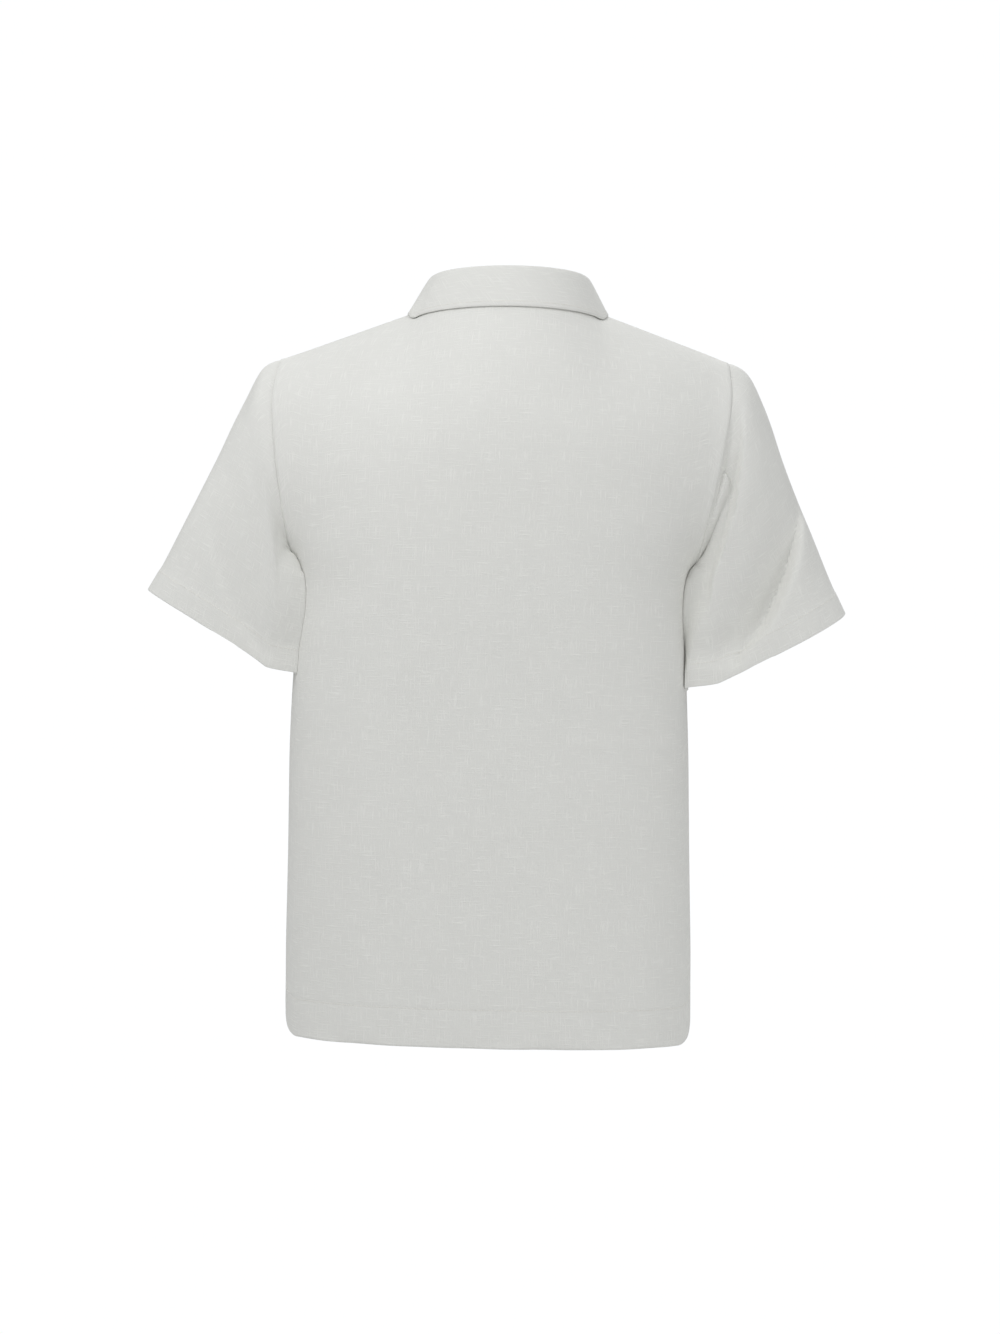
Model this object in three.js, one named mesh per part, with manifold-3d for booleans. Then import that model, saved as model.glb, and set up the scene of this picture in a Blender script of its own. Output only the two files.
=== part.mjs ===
// Polo shirt of woven linen, filled out as it is worn: back, front, two short sleeves,
// a fold-over collar on a stand, and a half placket with three buttons.
// Millimetres, +Z up. The wearer faces -Y and the wearer's left is +X.
// The origin lies midway between the two neck points, on the shoulder line.

import * as THREE from "three";
import Module from "manifold-3d";

const wasm = await Module();
wasm.setup();

// Cloth and seams
const CLOTH = 1.2; // one layer of linen
const COLLAR_CLOTH = 1.6; // collar layers with their interlining
const HEM_LAYER = 0.9; // what the turned-up layer adds inside a hem
const SEAM_GAP = 0.3; // clear distance between pieces that are sewn together
const ARMHOLE_GAP = 0.6; // the same at the armhole, where the walls meet at an angle

// Body: sections from the hem to the underarm
const BODY = [
  { height: -716, width: 201.5, back: 117, front: 113 },
  { height: -650, width: 201.5, back: 115, front: 112 },
  { height: -545, width: 200, back: 112, front: 111 },
  { height: -424, width: 198.5, back: 112, front: 112 },
  { height: -365, width: 196.5, back: 114, front: 116 },
  { height: -310, width: 195, back: 117, front: 120 },
  { height: -262, width: 194, back: 120, front: 122 },
];
const BODY_SQUARE = 2.5; // exponent of the section: 2 is an ellipse, more is squarer
const HEM_HEIGHT = 38;
const HEM_STEP = 2; // height over which the hem's thicker cloth ends
const HEM_ROWS = 2; // the row on which the hem's top lies
const HEM_RISE = 20; // how far the hem rises to the side seam
const HEM_RISE_WIDTH = 54; // cloth on each side of the side seam over which it rises
const HEM_RISE_FADES = 160; // height over which the rows above lose that rise
const ROW_HEIGHTS = [-716, -698, -716 + HEM_HEIGHT, -716 + HEM_HEIGHT + HEM_STEP, -632, -582,
  -532, -482, -432, -386, -346, -312, -285, -262];

// Shoulder and armhole
const SHOULDER_TIP = { x: 222, z: -45 };
const NECK_POINT = { x: 84, z: 6 };
const ARMHOLE = [
  { height: -262, width: 194 },
  { height: -232, width: 203 },
  { height: -175, width: 214 },
  { height: -130, width: 221 },
  { height: -85, width: 225.5 },
  { height: -45, width: 222 },
];
const ARMHOLE_SQUARE = 0.85; // exponent that fills out the armhole's loop
const UNDERARM_HEIGHT = -262;

// What differs between the two panels. side is +1 at the back and -1 at the front.
const PANELS = {
  back: {
    side: 1,
    depth: "back",
    armholeDepth: 61.5,
    armholeCut: 0,
    bladeDepth: 121,
    bladeHeight: -135,
    neckDepth: 66,
    neckDrop: -6,
    neckPower: 1,
    arriveCentre: new THREE.Vector3(0, -82, 124),
  },
  front: {
    side: -1,
    depth: "front",
    armholeDepth: 57.5,
    armholeCut: 8,
    bladeDepth: 118,
    bladeHeight: -165,
    neckDepth: 62,
    neckDrop: 72,
    neckPower: 1.35,
    arriveCentre: new THREE.Vector3(0, 82, 72),
  },
};

// Grid of a panel
const COLUMNS = 15; // from the centre line to the side seam
const NECK_COLUMNS = 6; // those that end on the neckline; the rest end on the shoulder
const ARMHOLE_STEPS = 14; // rows from the underarm to the shoulder tip
const BLADE_STEP = 6; // the row across the shoulder blades, or across the chest
const PATH_STEPS = 160; // along a section, from which the points of a row are spaced out
const RELAX_ROUNDS = 8; // passes that even out the cloth over the chest and shoulders
const RELAX_FADES = 5; // rows below the underarm over which they take hold
const RELAX_HOLD = 0.5; // share of the way to its neighbours' mean that a point moves

// Columns above the blade row leave it and reach the top edge with these pulls, as shares of
// their own length; Y is towards the other panel
const LEAVE_PULL = 0.9;
const ARRIVE_NECK_SIDE = new THREE.Vector3(-0.55, -0.6, 0.4);
const ARRIVE_SHOULDER = new THREE.Vector3(0, -1, 0.15);
const ARRIVE_TURNS = 0.3; // share of the row over which the first becomes the second

// Sleeve stations from the armhole to the cuff. over is the top line, under the bottom one.
const SLEEVE = [
  { along: 0, overX: 222, overZ: -45, underX: 194, underZ: -262, depth: 61.5 },
  { along: 0.1, overX: 240, overZ: -54, underX: 196.5, underZ: -274, depth: 62 },
  { along: 0.25, overX: 262, overZ: -90, underX: 197, underZ: -290, depth: 62 },
  { along: 0.45, overX: 286, overZ: -148, underX: 197, underZ: -309, depth: 58 },
  { along: 0.7, overX: 315, overZ: -214, underX: 197, underZ: -332, depth: 52 },
  { along: 0.9, overX: 337, overZ: -264, underX: 197.5, underZ: -352, depth: 47 },
  { along: 1, overX: 347.5, overZ: -285, underX: 198, underZ: -363, depth: 46 },
];
const SLEEVE_FRONT = 0.93; // the front half of a sleeve is a little flatter
const SLEEVE_ROWS = 12;
const SLEEVE_HEM = 24;
const SLEEVE_HEM_STEP = 0.8; // how far the sleeve's hem stands out
const SLEEVE_HEM_RISES = 0.012; // share of the sleeve's length over which it does so
const SLEEVE_HEM_SEARCH = 0.004; // step in finding the hem's top
const SLEEVE_CLEAR = 1.3; // between the sleeve and the body beside it
const CLEAR_FADES = 0.1; // along the sleeve, where the armhole's gap has become that
const CAP_FADES = 0.3; // along the sleeve, where the cap is drawn in fully
const ARMHOLE_FADES = 0.5; // along the sleeve, where the armhole's own outline is lost
// The arm presses the sleeve's inner side against the body: from HUG_FROM degrees round it
// begins to, HUG_TURNS further it lies on it, and it takes hold over HUG_FADES of the length
const HUG_FROM = 115;
const HUG_TURNS = 20;
const HUG_FADES = 0.25;

// What differs between the sleeves. side is +1 on the wearer's left.
// square is the roundness of the section's upper half and underSquare that of its lower half.
// capIn draws in the cap. tipDrop and underDrop lower the cuff's two ends, and cuffSag its edge
// between them.
// groove is the hollow along the armhole and the body, with its depth and width at each height.
// trough is a slanting fold across the back: where it runs at each height, and how deep. Its
// side towards the body is long and the other one short.
const SLEEVES = [
  {
    name: "sleeve_left",
    side: 1,
    square: 2.7,
    underSquare: 4.5,
    capIn: 10,
    tipDrop: -7,
    underDrop: -2,
    cuffSag: 1,
    groove: [
      { height: -363, depth: 0, width: 12 },
      { height: -45, depth: 0, width: 12 },
    ],
    trough: [
      { height: -352, x: 214, depth: 0 },
      { height: -330, x: 232, depth: 2 },
      { height: -280, x: 262, depth: 2.5 },
      { height: -200, x: 284, depth: 0 },
    ],
  },
  {
    name: "sleeve_right",
    side: -1,
    square: 2.25,
    underSquare: 4,
    capIn: 0,
    tipDrop: 7,
    underDrop: 9,
    cuffSag: 6,
    groove: [
      { height: -380, depth: 6, width: 14 },
      { height: -262, depth: 7, width: 13 },
      { height: -180, depth: 8, width: 10 },
      { height: -130, depth: 4, width: 9 },
      { height: -90, depth: 0, width: 8 },
    ],
    trough: [
      { height: -352, x: 236, depth: 2 },
      { height: -331, x: 246.5, depth: 9 },
      { height: -306, x: 264, depth: 15 },
      { height: -281, x: 275, depth: 17 },
      { height: -257, x: 284, depth: 16 },
      { height: -222, x: 293, depth: 12 },
      { height: -183, x: 300.5, depth: 6 },
      { height: -150, x: 305, depth: 0 },
    ],
  },
];
const SINK_FROM = 25; // a point nearer than this to the sleeve's edges sinks less
const GROOVE_STARTS = 1; // distance from the body at which the groove begins
const GROOVE_FALLS = 4; // and over which it reaches its depth
const GROOVE_RISES = 4; // width of its outer wall
const TROUGH_LONG = 32; // how wide the trough's side towards the body is
const TROUGH_SHORT = 9;

// Collar. The stand rises from the neckline to its top ring, where the fall begins.
const STAND_TOP = {
  width: 75.5, back: 58, front: 57, backZ: 35, sideZ: 31, frontDrop: 72, frontPower: 1.35,
};
const STAND_STEPS = [0, 0.33, 0.67, 1];
const STAND_SAG = 0.4; // how far the middle of its height sinks in
const COLLAR_COLUMNS = 24; // from the centre back to one front end
const COLLAR_FRONT_GAP = 1.5; // half the gap between the two front ends
const FALL_EDGE = { width: 99, back: 79, backZ: 4, sideZ: 1.5 };
const FALL_CHEEK = new THREE.Vector3(104, -60, -40); // pulls the front edge outwards
const FALL_POINT = new THREE.Vector3(46, -100, -80);
const FALL_CLEAR = 1.5; // between the fall and the panels under it
const FALL_STEPS = [0, 0.08, 0.16, 0.25, 0.35, 0.47, 0.62, 0.8, 1];
const FALL_LAID_FROM = 0.3; // the step from which the fall is kept clear of the panels
// Heights over the stand, at the back and at the front, that shape the roll, and the length
// over which the fall runs straight to its free edge
const FALL_ROLL = { back: 17, front: 11 };
const FALL_CREST = { back: 8, front: 5 };
const FALL_STRAIGHT = { back: 26, front: 22 };
const PANEL_REACH = 60; // faces further than this above or below a point aren't the nearest

// Placket and buttons
const SLOT_HALF = 13; // half the width of the slot that is cut into the front
const SLOT_BOTTOM = -219;
const SLOT_CUT = { back: -20, front: -200, top: 40 }; // how far the slot's cutter reaches
const PLACKET_HALF = 16;
const PLACKET_BOTTOM = -223;
const PLACKET_TOP = -67.5;
const STRIP_SHARES = [-1, -0.5, 0, 0.5, 1]; // across a strip of the placket
const STRIP_ROW_APART = 0.2; // a row of the front nearer than this to a strip's end is left out
const BUTTON_HEIGHTS = [-84, -134, -184];
const BUTTON = {
  radius: 5.75, thick: 2.6, rim: 0.7, dish: 0.5, sides: 20, holeRadius: 0.8, holeOut: 1.5,
  holeSides: 8,
};

// The shirt hangs a little unevenly: how far it leans to +X at each height, and by what
// share of its distance from the middle the +X side stands higher there
const LEAN = [
  { height: -716, shift: 3, tilt: 0.0095 },
  { height: -550, shift: 4.5, tilt: 0.004 },
  { height: -384, shift: 6, tilt: 0 },
  { height: -250, shift: 3.5, tilt: -0.003 },
  { height: -100, shift: -2, tilt: -0.006 },
  { height: -45, shift: -5, tilt: -0.007 },
  { height: 0, shift: -7, tilt: -0.007 },
  { height: 45, shift: -8.5, tilt: -0.007 },
];
const LEAN_FULL = 200; // beyond this half width the lean fades, to nothing at LEAN_NONE
const LEAN_NONE = 350;

const mix = (a, b, t) => a + (b - a) * t;
const clamp01 = (t) => Math.min(1, Math.max(0, t));
const ease = (t) => clamp01(t) ** 2 * (3 - 2 * clamp01(t));

// A column's value at a place between a table's rows, on a curve that never overshoots them
function fromTable(rows, key, column, at) {
  const last = rows.length - 1;
  let i = 0;
  while (i < last - 1 && at > rows[i + 1][key]) i++;
  const slope = (a) => (rows[a + 1][column] - rows[a][column]) / (rows[a + 1][key] - rows[a][key]);
  const between = (a, b) => (a * b > 0 ? (2 * a * b) / (a + b) : 0);
  const step = rows[i + 1][key] - rows[i][key];
  const here = slope(i);
  const leave = i > 0 ? between(slope(i - 1), here) : here;
  const arrive = i < last - 1 ? between(here, slope(i + 1)) : here;
  const t = clamp01((at - rows[i][key]) / step);
  return hermite(rows[i][column], leave * step, rows[i + 1][column], arrive * step, t);
}

function hermite(start, leave, end, arrive, t) {
  const t2 = t * t;
  const t3 = t2 * t;
  return start * (2 * t3 - 3 * t2 + 1) + leave * (t3 - 2 * t2 + t)
    + end * (3 * t2 - 2 * t3) + arrive * (t3 - t2);
}

function lean(point) {
  const fade = 1 - clamp01((Math.abs(point.x) - LEAN_FULL) / (LEAN_NONE - LEAN_FULL));
  const { x, z } = point;
  point.x += fromTable(LEAN, "height", "shift", z) * fade;
  point.z += fromTable(LEAN, "height", "tilt", z) * x * fade;
  return point;
}

// Walls

// Normals of a grid of points, grid[row][column], and the two triangles of each of its cells
function gridSurface(grid, closed, facing) {
  const rows = grid.length;
  const columns = grid[0].length;
  const normals = grid.map((row) => row.map(() => new THREE.Vector3()));
  const faces = [];
  const cells = closed ? columns : columns - 1;
  for (let r = 0; r < rows - 1; r++) {
    for (let c = 0; c < cells; c++) {
      const next = (c + 1) % columns;
      const corners = [[r, c], [r, next], [r + 1, next], [r + 1, c]];
      const [a, b, d, e] = corners.map(([i, j]) => grid[i][j]);
      const turn = a.distanceTo(d) <= b.distanceTo(e) ? [0, 1, 2, 3] : [1, 2, 3, 0];
      const [p, q, s, t] = turn.map((i) => corners[i]);
      faces.push([p, q, s], [p, s, t]);
    }
  }
  for (const face of faces) {
    const [p, q, s] = face.map(([i, j]) => grid[i][j]);
    const area = q.clone().sub(p).cross(s.clone().sub(p)).multiplyScalar(facing);
    for (const [i, j] of face) normals[i][j].add(area);
  }
  for (const row of normals) row.forEach((normal) => normal.normalize());
  return { grid, normals, faces, closed };
}

// A closed wall: the surface, its inner face at a depth along the normals, and its rims
function wall(surface, thickness) {
  const { grid, normals, faces, closed } = surface;
  const rows = grid.length;
  const columns = grid[0].length;
  const points = [];
  for (const row of grid) points.push(...row);
  for (let r = 0; r < rows; r++) {
    for (let c = 0; c < columns; c++) {
      points.push(grid[r][c].clone().addScaledVector(normals[r][c], -thickness(r, c)));
    }
  }
  const outer = ([r, c]) => r * columns + c;
  const inner = (cell) => rows * columns + outer(cell);
  const triangles = [];
  for (const [a, b, c] of faces) {
    triangles.push([outer(a), outer(b), outer(c)], [inner(a), inner(c), inner(b)]);
  }
  const rim = (a, b) => {
    triangles.push([outer(b), outer(a), inner(a)], [outer(b), inner(a), inner(b)]);
  };
  const cells = closed ? columns : columns - 1;
  for (let c = 0; c < cells; c++) {
    const next = (c + 1) % columns;
    rim([0, c], [0, next]);
    rim([rows - 1, next], [rows - 1, c]);
  }
  for (let r = 0; r < rows - 1 && !closed; r++) {
    rim([r + 1, 0], [r, 0]);
    rim([r, columns - 1], [r + 1, columns - 1]);
  }
  return solid(points, triangles);
}

// Geometry from points and triangles, turned the right way out
function solid(points, triangles) {
  let volume = 0;
  for (const [a, b, c] of triangles) {
    volume += points[a].dot(points[b].clone().cross(points[c]));
  }
  const ordered = volume < 0 ? triangles.map(([a, b, c]) => [a, c, b]) : triangles;
  const geometry = new THREE.BufferGeometry();
  const numbers = points.flatMap((point) => point.toArray());
  geometry.setAttribute("position", new THREE.Float32BufferAttribute(numbers, 3));
  geometry.setIndex(ordered.flat());
  return geometry;
}

// Booleans

function toManifold(geometry) {
  return new wasm.Manifold(new wasm.Mesh({
    numProp: 3,
    vertProperties: new Float32Array(geometry.attributes.position.array),
    triVerts: new Uint32Array(geometry.index.array),
  }));
}

function fromManifold(body) {
  const mesh = body.getMesh();
  const geometry = new THREE.BufferGeometry();
  geometry.setAttribute("position", new THREE.BufferAttribute(mesh.vertProperties, 3));
  geometry.setIndex(new THREE.BufferAttribute(mesh.triVerts, 1));
  return geometry;
}

// A closed box as plain corners, ready to cut with
function cutter(low, high) {
  const points = [];
  for (const z of [low.z, high.z]) {
    for (const y of [low.y, high.y]) {
      for (const x of [low.x, high.x]) points.push(new THREE.Vector3(x, y, z));
    }
  }
  const sides = [[0, 2, 3, 1], [4, 5, 7, 6], [0, 1, 5, 4], [2, 6, 7, 3], [0, 4, 6, 2], [1, 3, 7, 5]];
  return solid(points, sides.flatMap(([a, b, c, d]) => [[a, b, c], [a, c, d]]));
}

// Panels

function armholePoint(panel, step) {
  const turn = Math.PI * (1 - step / ARMHOLE_STEPS);
  const z = mix(UNDERARM_HEIGHT, SHOULDER_TIP.z, (1 + Math.cos(turn)) / 2);
  const swell = Math.max(0, Math.sin(turn));
  const x = fromTable(ARMHOLE, "height", "width", z) - panel.armholeCut * swell ** 2;
  return new THREE.Vector3(x, panel.side * panel.armholeDepth * swell ** ARMHOLE_SQUARE, z);
}

// Points of a row at equal steps of its length, from the centre line to the side edge
function sectionRow(row) {
  const path = [];
  let length = 0;
  for (let i = 0; i <= PATH_STEPS; i++) {
    const turn = (Math.PI / 2) * (i / PATH_STEPS);
    const share = Math.sin(turn) ** (2 / row.squareX);
    const deep = Math.max(0, Math.cos(turn)) ** (2 / row.squareY);
    const point = new THREE.Vector3(row.edge.x * share, mix(row.edge.y, row.depth, deep), 0);
    if (i > 0) length += point.distanceTo(path[i - 1].point);
    path.push({ point, length, share });
  }
  const points = [];
  for (let c = 0; c <= COLUMNS; c++) {
    const at = (length * c) / COLUMNS;
    const last = PATH_STEPS - 1;
    const i = Math.min(last, path.findIndex((_, k) => k > last || path[k + 1].length >= at));
    const t = (at - path[i].length) / (path[i + 1].length - path[i].length);
    const point = path[i].point.clone().lerp(path[i + 1].point, t);
    const share = mix(path[i].share, path[i + 1].share, t);
    const rise = (1 + Math.cos(Math.PI * clamp01((length - at) / HEM_RISE_WIDTH))) / 2;
    point.z = mix(row.centreZ, row.edge.z, share ** 2) + row.rise * rise;
    points.push(point);
  }
  return points;
}

function bodyRow(panel, height) {
  const rise = HEM_RISE * (1 - ease((height - ROW_HEIGHTS[0]) / HEM_RISE_FADES));
  return sectionRow({
    edge: new THREE.Vector3(fromTable(BODY, "height", "width", height), 0, height),
    depth: panel.side * fromTable(BODY, "height", panel.depth, height),
    centreZ: height,
    squareX: BODY_SQUARE,
    squareY: BODY_SQUARE,
    rise,
  });
}

function armholeRow(panel, step) {
  const up = step / BLADE_STEP;
  const low = fromTable(BODY, "height", panel.depth, UNDERARM_HEIGHT);
  return sectionRow({
    edge: armholePoint(panel, step),
    depth: panel.side * mix(low, panel.bladeDepth, ease(up)),
    centreZ: mix(UNDERARM_HEIGHT, panel.bladeHeight, up),
    squareX: BODY_SQUARE,
    squareY: mix(BODY_SQUARE, 1, ease(up)),
    rise: 0,
  });
}

function necklinePoint(panel, turn) {
  const cos = Math.cos(turn);
  return new THREE.Vector3(
    NECK_POINT.x * Math.sin(turn),
    panel.side * panel.neckDepth * cos,
    NECK_POINT.z - panel.neckDrop * Math.max(0, cos) ** panel.neckPower,
  );
}

// A point on the neckline or the shoulder seam; share runs from the centre to the shoulder tip
function topPoint(panel, share) {
  const neckShare = NECK_COLUMNS / COLUMNS;
  if (share <= neckShare) return necklinePoint(panel, (Math.PI / 2) * (share / neckShare));
  const out = (share - neckShare) / (1 - neckShare);
  return new THREE.Vector3(
    mix(NECK_POINT.x, SHOULDER_TIP.x, out), 0, mix(NECK_POINT.z, SHOULDER_TIP.z, out));
}

// The way a column arrives at the top edge, for a column of the given length
function arrival(panel, share, length) {
  const neckShare = NECK_COLUMNS / COLUMNS;
  const pull = ({ x, y, z }) => new THREE.Vector3(x, y * panel.side, z).multiplyScalar(length);
  const round = ease(share / neckShare);
  const nearNeck = panel.arriveCentre.clone().lerp(pull(ARRIVE_NECK_SIDE), round);
  return nearNeck.lerp(pull(ARRIVE_SHOULDER), ease((share - neckShare) / ARRIVE_TURNS));
}

// Rows above the blade row, each column on its own curve up to the top edge
function upperRows(panel, before, blade) {
  const count = ARMHOLE_STEPS - BLADE_STEP;
  const rows = [];
  for (let k = 1; k <= count; k++) rows.push([]);
  for (let c = 0; c <= COLUMNS; c++) {
    const share = c / COLUMNS;
    const end = topPoint(panel, share);
    const leave = blade[c].clone().sub(before[c]).multiplyScalar(count * LEAVE_PULL);
    const arrive = arrival(panel, share, blade[c].distanceTo(end));
    for (let k = 1; k <= count; k++) {
      const t = k / count;
      rows[k - 1].push(new THREE.Vector3(
        hermite(blade[c].x, leave.x, end.x, arrive.x, t),
        hermite(blade[c].y, leave.y, end.y, arrive.y, t),
        hermite(blade[c].z, leave.z, end.z, arrive.z, t),
      ));
    }
  }
  rows.forEach((row, k) => {
    const miss = armholePoint(panel, BLADE_STEP + 1 + k).sub(row[COLUMNS]);
    row.forEach((point, c) => point.addScaledVector(miss, ease((2 * c) / COLUMNS - 1)));
  });
  return rows;
}

// Evens out a half panel: inner points move towards the mean of their four neighbours
function relax(half) {
  const first = ROW_HEIGHTS.length - RELAX_FADES;
  for (let round = 0; round < RELAX_ROUNDS; round++) {
    const old = half.map((row) => row.map((point) => point.clone()));
    for (let r = first; r < half.length - 1; r++) {
      const hold = RELAX_HOLD * ease((r - first + 1) / RELAX_FADES);
      for (let c = 0; c < COLUMNS; c++) {
        const beside = c > 0 ? old[r][c - 1] : mirrored(old[r][1]);
        const mean = beside.clone().add(old[r][c + 1]).add(old[r - 1][c]).add(old[r + 1][c]);
        half[r][c].lerp(mean.multiplyScalar(0.25), hold);
      }
    }
  }
}

function mirrored(point) {
  return new THREE.Vector3(-point.x, point.y, point.z);
}

// The outer surface of a panel, with the rims of its side and shoulder seams square to Y
function panelSurface(panel) {
  const half = ROW_HEIGHTS.map((height) => bodyRow(panel, height));
  for (let k = 1; k <= BLADE_STEP; k++) half.push(armholeRow(panel, k));
  half.push(...upperRows(panel, half[half.length - 2], half[half.length - 1]));
  relax(half);
  const grid = half.map((row) => {
    const left = row.slice(1).reverse().map(mirrored);
    return [...left, ...row].map((point) => {
      point.y += (panel.side * SEAM_GAP) / 2;
      return point;
    });
  });
  const surface = gridSurface(grid, false, -panel.side);
  const level = (normal) => normal.setY(0).normalize();
  const side = 2 * COLUMNS;
  for (let r = 0; r < ROW_HEIGHTS.length; r++) {
    level(surface.normals[r][0]);
    level(surface.normals[r][side]);
  }
  const top = surface.normals[grid.length - 1];
  for (let c = NECK_COLUMNS; c <= COLUMNS; c++) {
    level(top[COLUMNS - c]);
    level(top[COLUMNS + c]);
  }
  return surface;
}

function panelThickness(row) {
  return row <= HEM_ROWS ? CLOTH + HEM_LAYER : CLOTH;
}

// The front's outer surface at a distance from the centre line, on a row or between two
function frontPoint(surface, x, row) {
  const onRow = (r) => {
    const next = COLUMNS + (x < 0 ? -1 : 1);
    const share = x === 0 ? 0 : x / surface.grid[r][next].x;
    return {
      point: surface.grid[r][COLUMNS].clone().lerp(surface.grid[r][next], share),
      normal: surface.normals[r][COLUMNS].clone().lerp(surface.normals[r][next], share),
    };
  };
  const low = onRow(Math.floor(row));
  const high = onRow(Math.ceil(row));
  const t = row - Math.floor(row);
  return {
    point: low.point.lerp(high.point, t),
    normal: low.normal.lerp(high.normal, t).normalize(),
  };
}

// The row of the front, whole or between two, at a height on the centre line
function rowAt(surface, height) {
  const heights = surface.grid.map((row) => row[COLUMNS].z);
  const above = heights.findIndex((z) => z >= height);
  return above - (heights[above] - height) / (heights[above] - heights[above - 1]);
}

// A strip along the centre front, made from the front's own points and moved out by lift
function strip(surface, half, bottom, top, lift) {
  const first = rowAt(surface, bottom);
  const last = rowAt(surface, top);
  const rows = [first];
  for (let r = Math.ceil(first + STRIP_ROW_APART); r < last - STRIP_ROW_APART; r++) rows.push(r);
  rows.push(last);
  const grid = rows.map((row) => STRIP_SHARES.map((share) => {
    const { point, normal } = frontPoint(surface, share * half, row);
    return point.addScaledVector(normal, lift);
  }));
  return gridSurface(grid, false, 1);
}

// Sleeves

// How far out the body reaches beside a point: its section, or the armhole above the underarm
function bodyReach(point) {
  if (point.z >= UNDERARM_HEIGHT) return fromTable(ARMHOLE, "height", "width", point.z);
  const depth = fromTable(BODY, "height", point.y > 0 ? "back" : "front", point.z);
  const share = clamp01(Math.abs(point.y) / depth);
  return fromTable(BODY, "height", "width", point.z)
    * (1 - share ** BODY_SQUARE) ** (1 / BODY_SQUARE);
}

// A point of a sleeve on the +X side; turn is 0 on the top line and 180 on the bottom one
function sleeveSection(sleeve, along, turn, facing) {
  const at = (column) => fromTable(SLEEVE, "along", column, along);
  const late = along ** 2;
  const inward = sleeve.capIn * ease(along / CAP_FADES) * (1 - along);
  const over = new THREE.Vector3(at("overX") - inward, 0, at("overZ") - sleeve.tipDrop * late);
  const under = new THREE.Vector3(at("underX"), 0, at("underZ") - sleeve.underDrop * late);
  const angle = THREE.MathUtils.degToRad(turn);
  const cos = Math.cos(angle);
  const square = turn > 90 ? sleeve.underSquare : sleeve.square;
  const up = Math.sign(cos) * Math.abs(cos) ** (2 / square);
  const out = Math.max(0, Math.sin(angle)) ** (2 / square);
  const point = under.lerp(over, (1 + up) / 2);
  point.y = facing * at("depth") * (facing < 0 ? SLEEVE_FRONT : 1) * out;
  point.z -= sleeve.cuffSag * late * out;
  return point;
}

// How deep the groove and the trough sink the back of a sleeve at a point
function sink(sleeve, point) {
  const groove = (column) => fromTable(sleeve.groove, "height", column, point.z);
  const trough = (column) => fromTable(sleeve.trough, "height", column, point.z);
  const level = new THREE.Vector3(0, 0, point.z);
  const off = point.x - bodyReach(level) - GROOVE_STARTS;
  const wall = (off - groove("width")) / GROOVE_RISES + 1;
  const beside = groove("depth") * ease(off / GROOVE_FALLS) * (1 - ease(wall));
  const across = point.x - trough("x");
  const share = across / (across < 0 ? TROUGH_LONG : TROUGH_SHORT);
  const deep = beside + trough("depth") * Math.exp(-share * share);
  return deep * ease(point.y / SINK_FROM);
}

// One lengthwise line of a sleeve, from the armhole's point to the cuff
function sleeveLine(sleeve, column) {
  const back = column <= ARMHOLE_STEPS;
  const panel = back ? PANELS.back : PANELS.front;
  const step = back ? column : 2 * ARMHOLE_STEPS - column;
  const turn = 180 * (1 - step / ARMHOLE_STEPS);
  const start = armholePoint(panel, step).add(new THREE.Vector3(ARMHOLE_GAP, 0, 0));
  const miss = start.sub(sleeveSection(sleeve, 0, turn, panel.side));
  return (along) => {
    const point = sleeveSection(sleeve, along, turn, panel.side);
    point.addScaledVector(miss, 1 - ease(along / ARMHOLE_FADES));
    if (along === 0) return point;
    if (back) point.y -= sink(sleeve, point);
    const nearest = bodyReach(point) + mix(ARMHOLE_GAP, SLEEVE_CLEAR, ease(along / CLEAR_FADES));
    const hug = ease((turn - HUG_FROM) / HUG_TURNS) * ease(along / HUG_FADES);
    point.x = Math.max(mix(point.x, nearest, hug), nearest);
    return point;
  };
}

// How far along a line its hem begins, measured back from the cuff over the cloth
function hemStart(line) {
  let along = 1;
  let length = 0;
  while (length < SLEEVE_HEM) {
    length += line(along).distanceTo(line(along - SLEEVE_HEM_SEARCH));
    along -= SLEEVE_HEM_SEARCH;
  }
  return along;
}

function sleeveSurface(sleeve) {
  const grid = [];
  for (let r = 0; r < SLEEVE_ROWS + 3; r++) grid.push([]);
  for (let column = 0; column < 2 * ARMHOLE_STEPS; column++) {
    const line = sleeveLine(sleeve, column);
    const hem = hemStart(line);
    for (let r = 0; r <= SLEEVE_ROWS; r++) grid[r].push(line((hem * r) / SLEEVE_ROWS));
    grid[SLEEVE_ROWS + 1].push(line(hem + SLEEVE_HEM_RISES));
    grid[SLEEVE_ROWS + 2].push(line(1));
  }
  const { normals } = gridSurface(grid, true, 1);
  for (let r = SLEEVE_ROWS + 1; r < grid.length; r++) {
    grid[r].forEach((point, c) => point.addScaledVector(normals[r][c], SLEEVE_HEM_STEP));
  }
  if (sleeve.side < 0) {
    return gridSurface(grid.map((row) => row.map(mirrored)), true, -1);
  }
  return gridSurface(grid, true, 1);
}

function sleeveThickness(row) {
  return row > SLEEVE_ROWS ? CLOTH + HEM_LAYER : CLOTH;
}

// Collar

// A point on the necklines' own edges, at a turn round the neck from the centre back
function neckEdge(turn) {
  const surface = turn <= Math.PI / 2 ? back : front;
  const quarter = Math.min(turn, Math.PI - turn);
  const place = (NECK_COLUMNS * quarter) / (Math.PI / 2);
  const column = Math.min(NECK_COLUMNS - 1, Math.floor(place));
  const edge = surface.grid[surface.grid.length - 1];
  return edge[COLUMNS + column].clone().lerp(edge[COLUMNS + column + 1], place - column);
}

function standTop(turn) {
  const back = turn <= Math.PI / 2;
  const cos = Math.abs(Math.cos(turn));
  const z = back
    ? mix(STAND_TOP.sideZ, STAND_TOP.backZ, cos)
    : STAND_TOP.sideZ - STAND_TOP.frontDrop * cos ** STAND_TOP.frontPower;
  const y = back ? STAND_TOP.back * cos : -STAND_TOP.front * cos;
  return new THREE.Vector3(STAND_TOP.width * Math.sin(turn), y, z);
}

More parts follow.
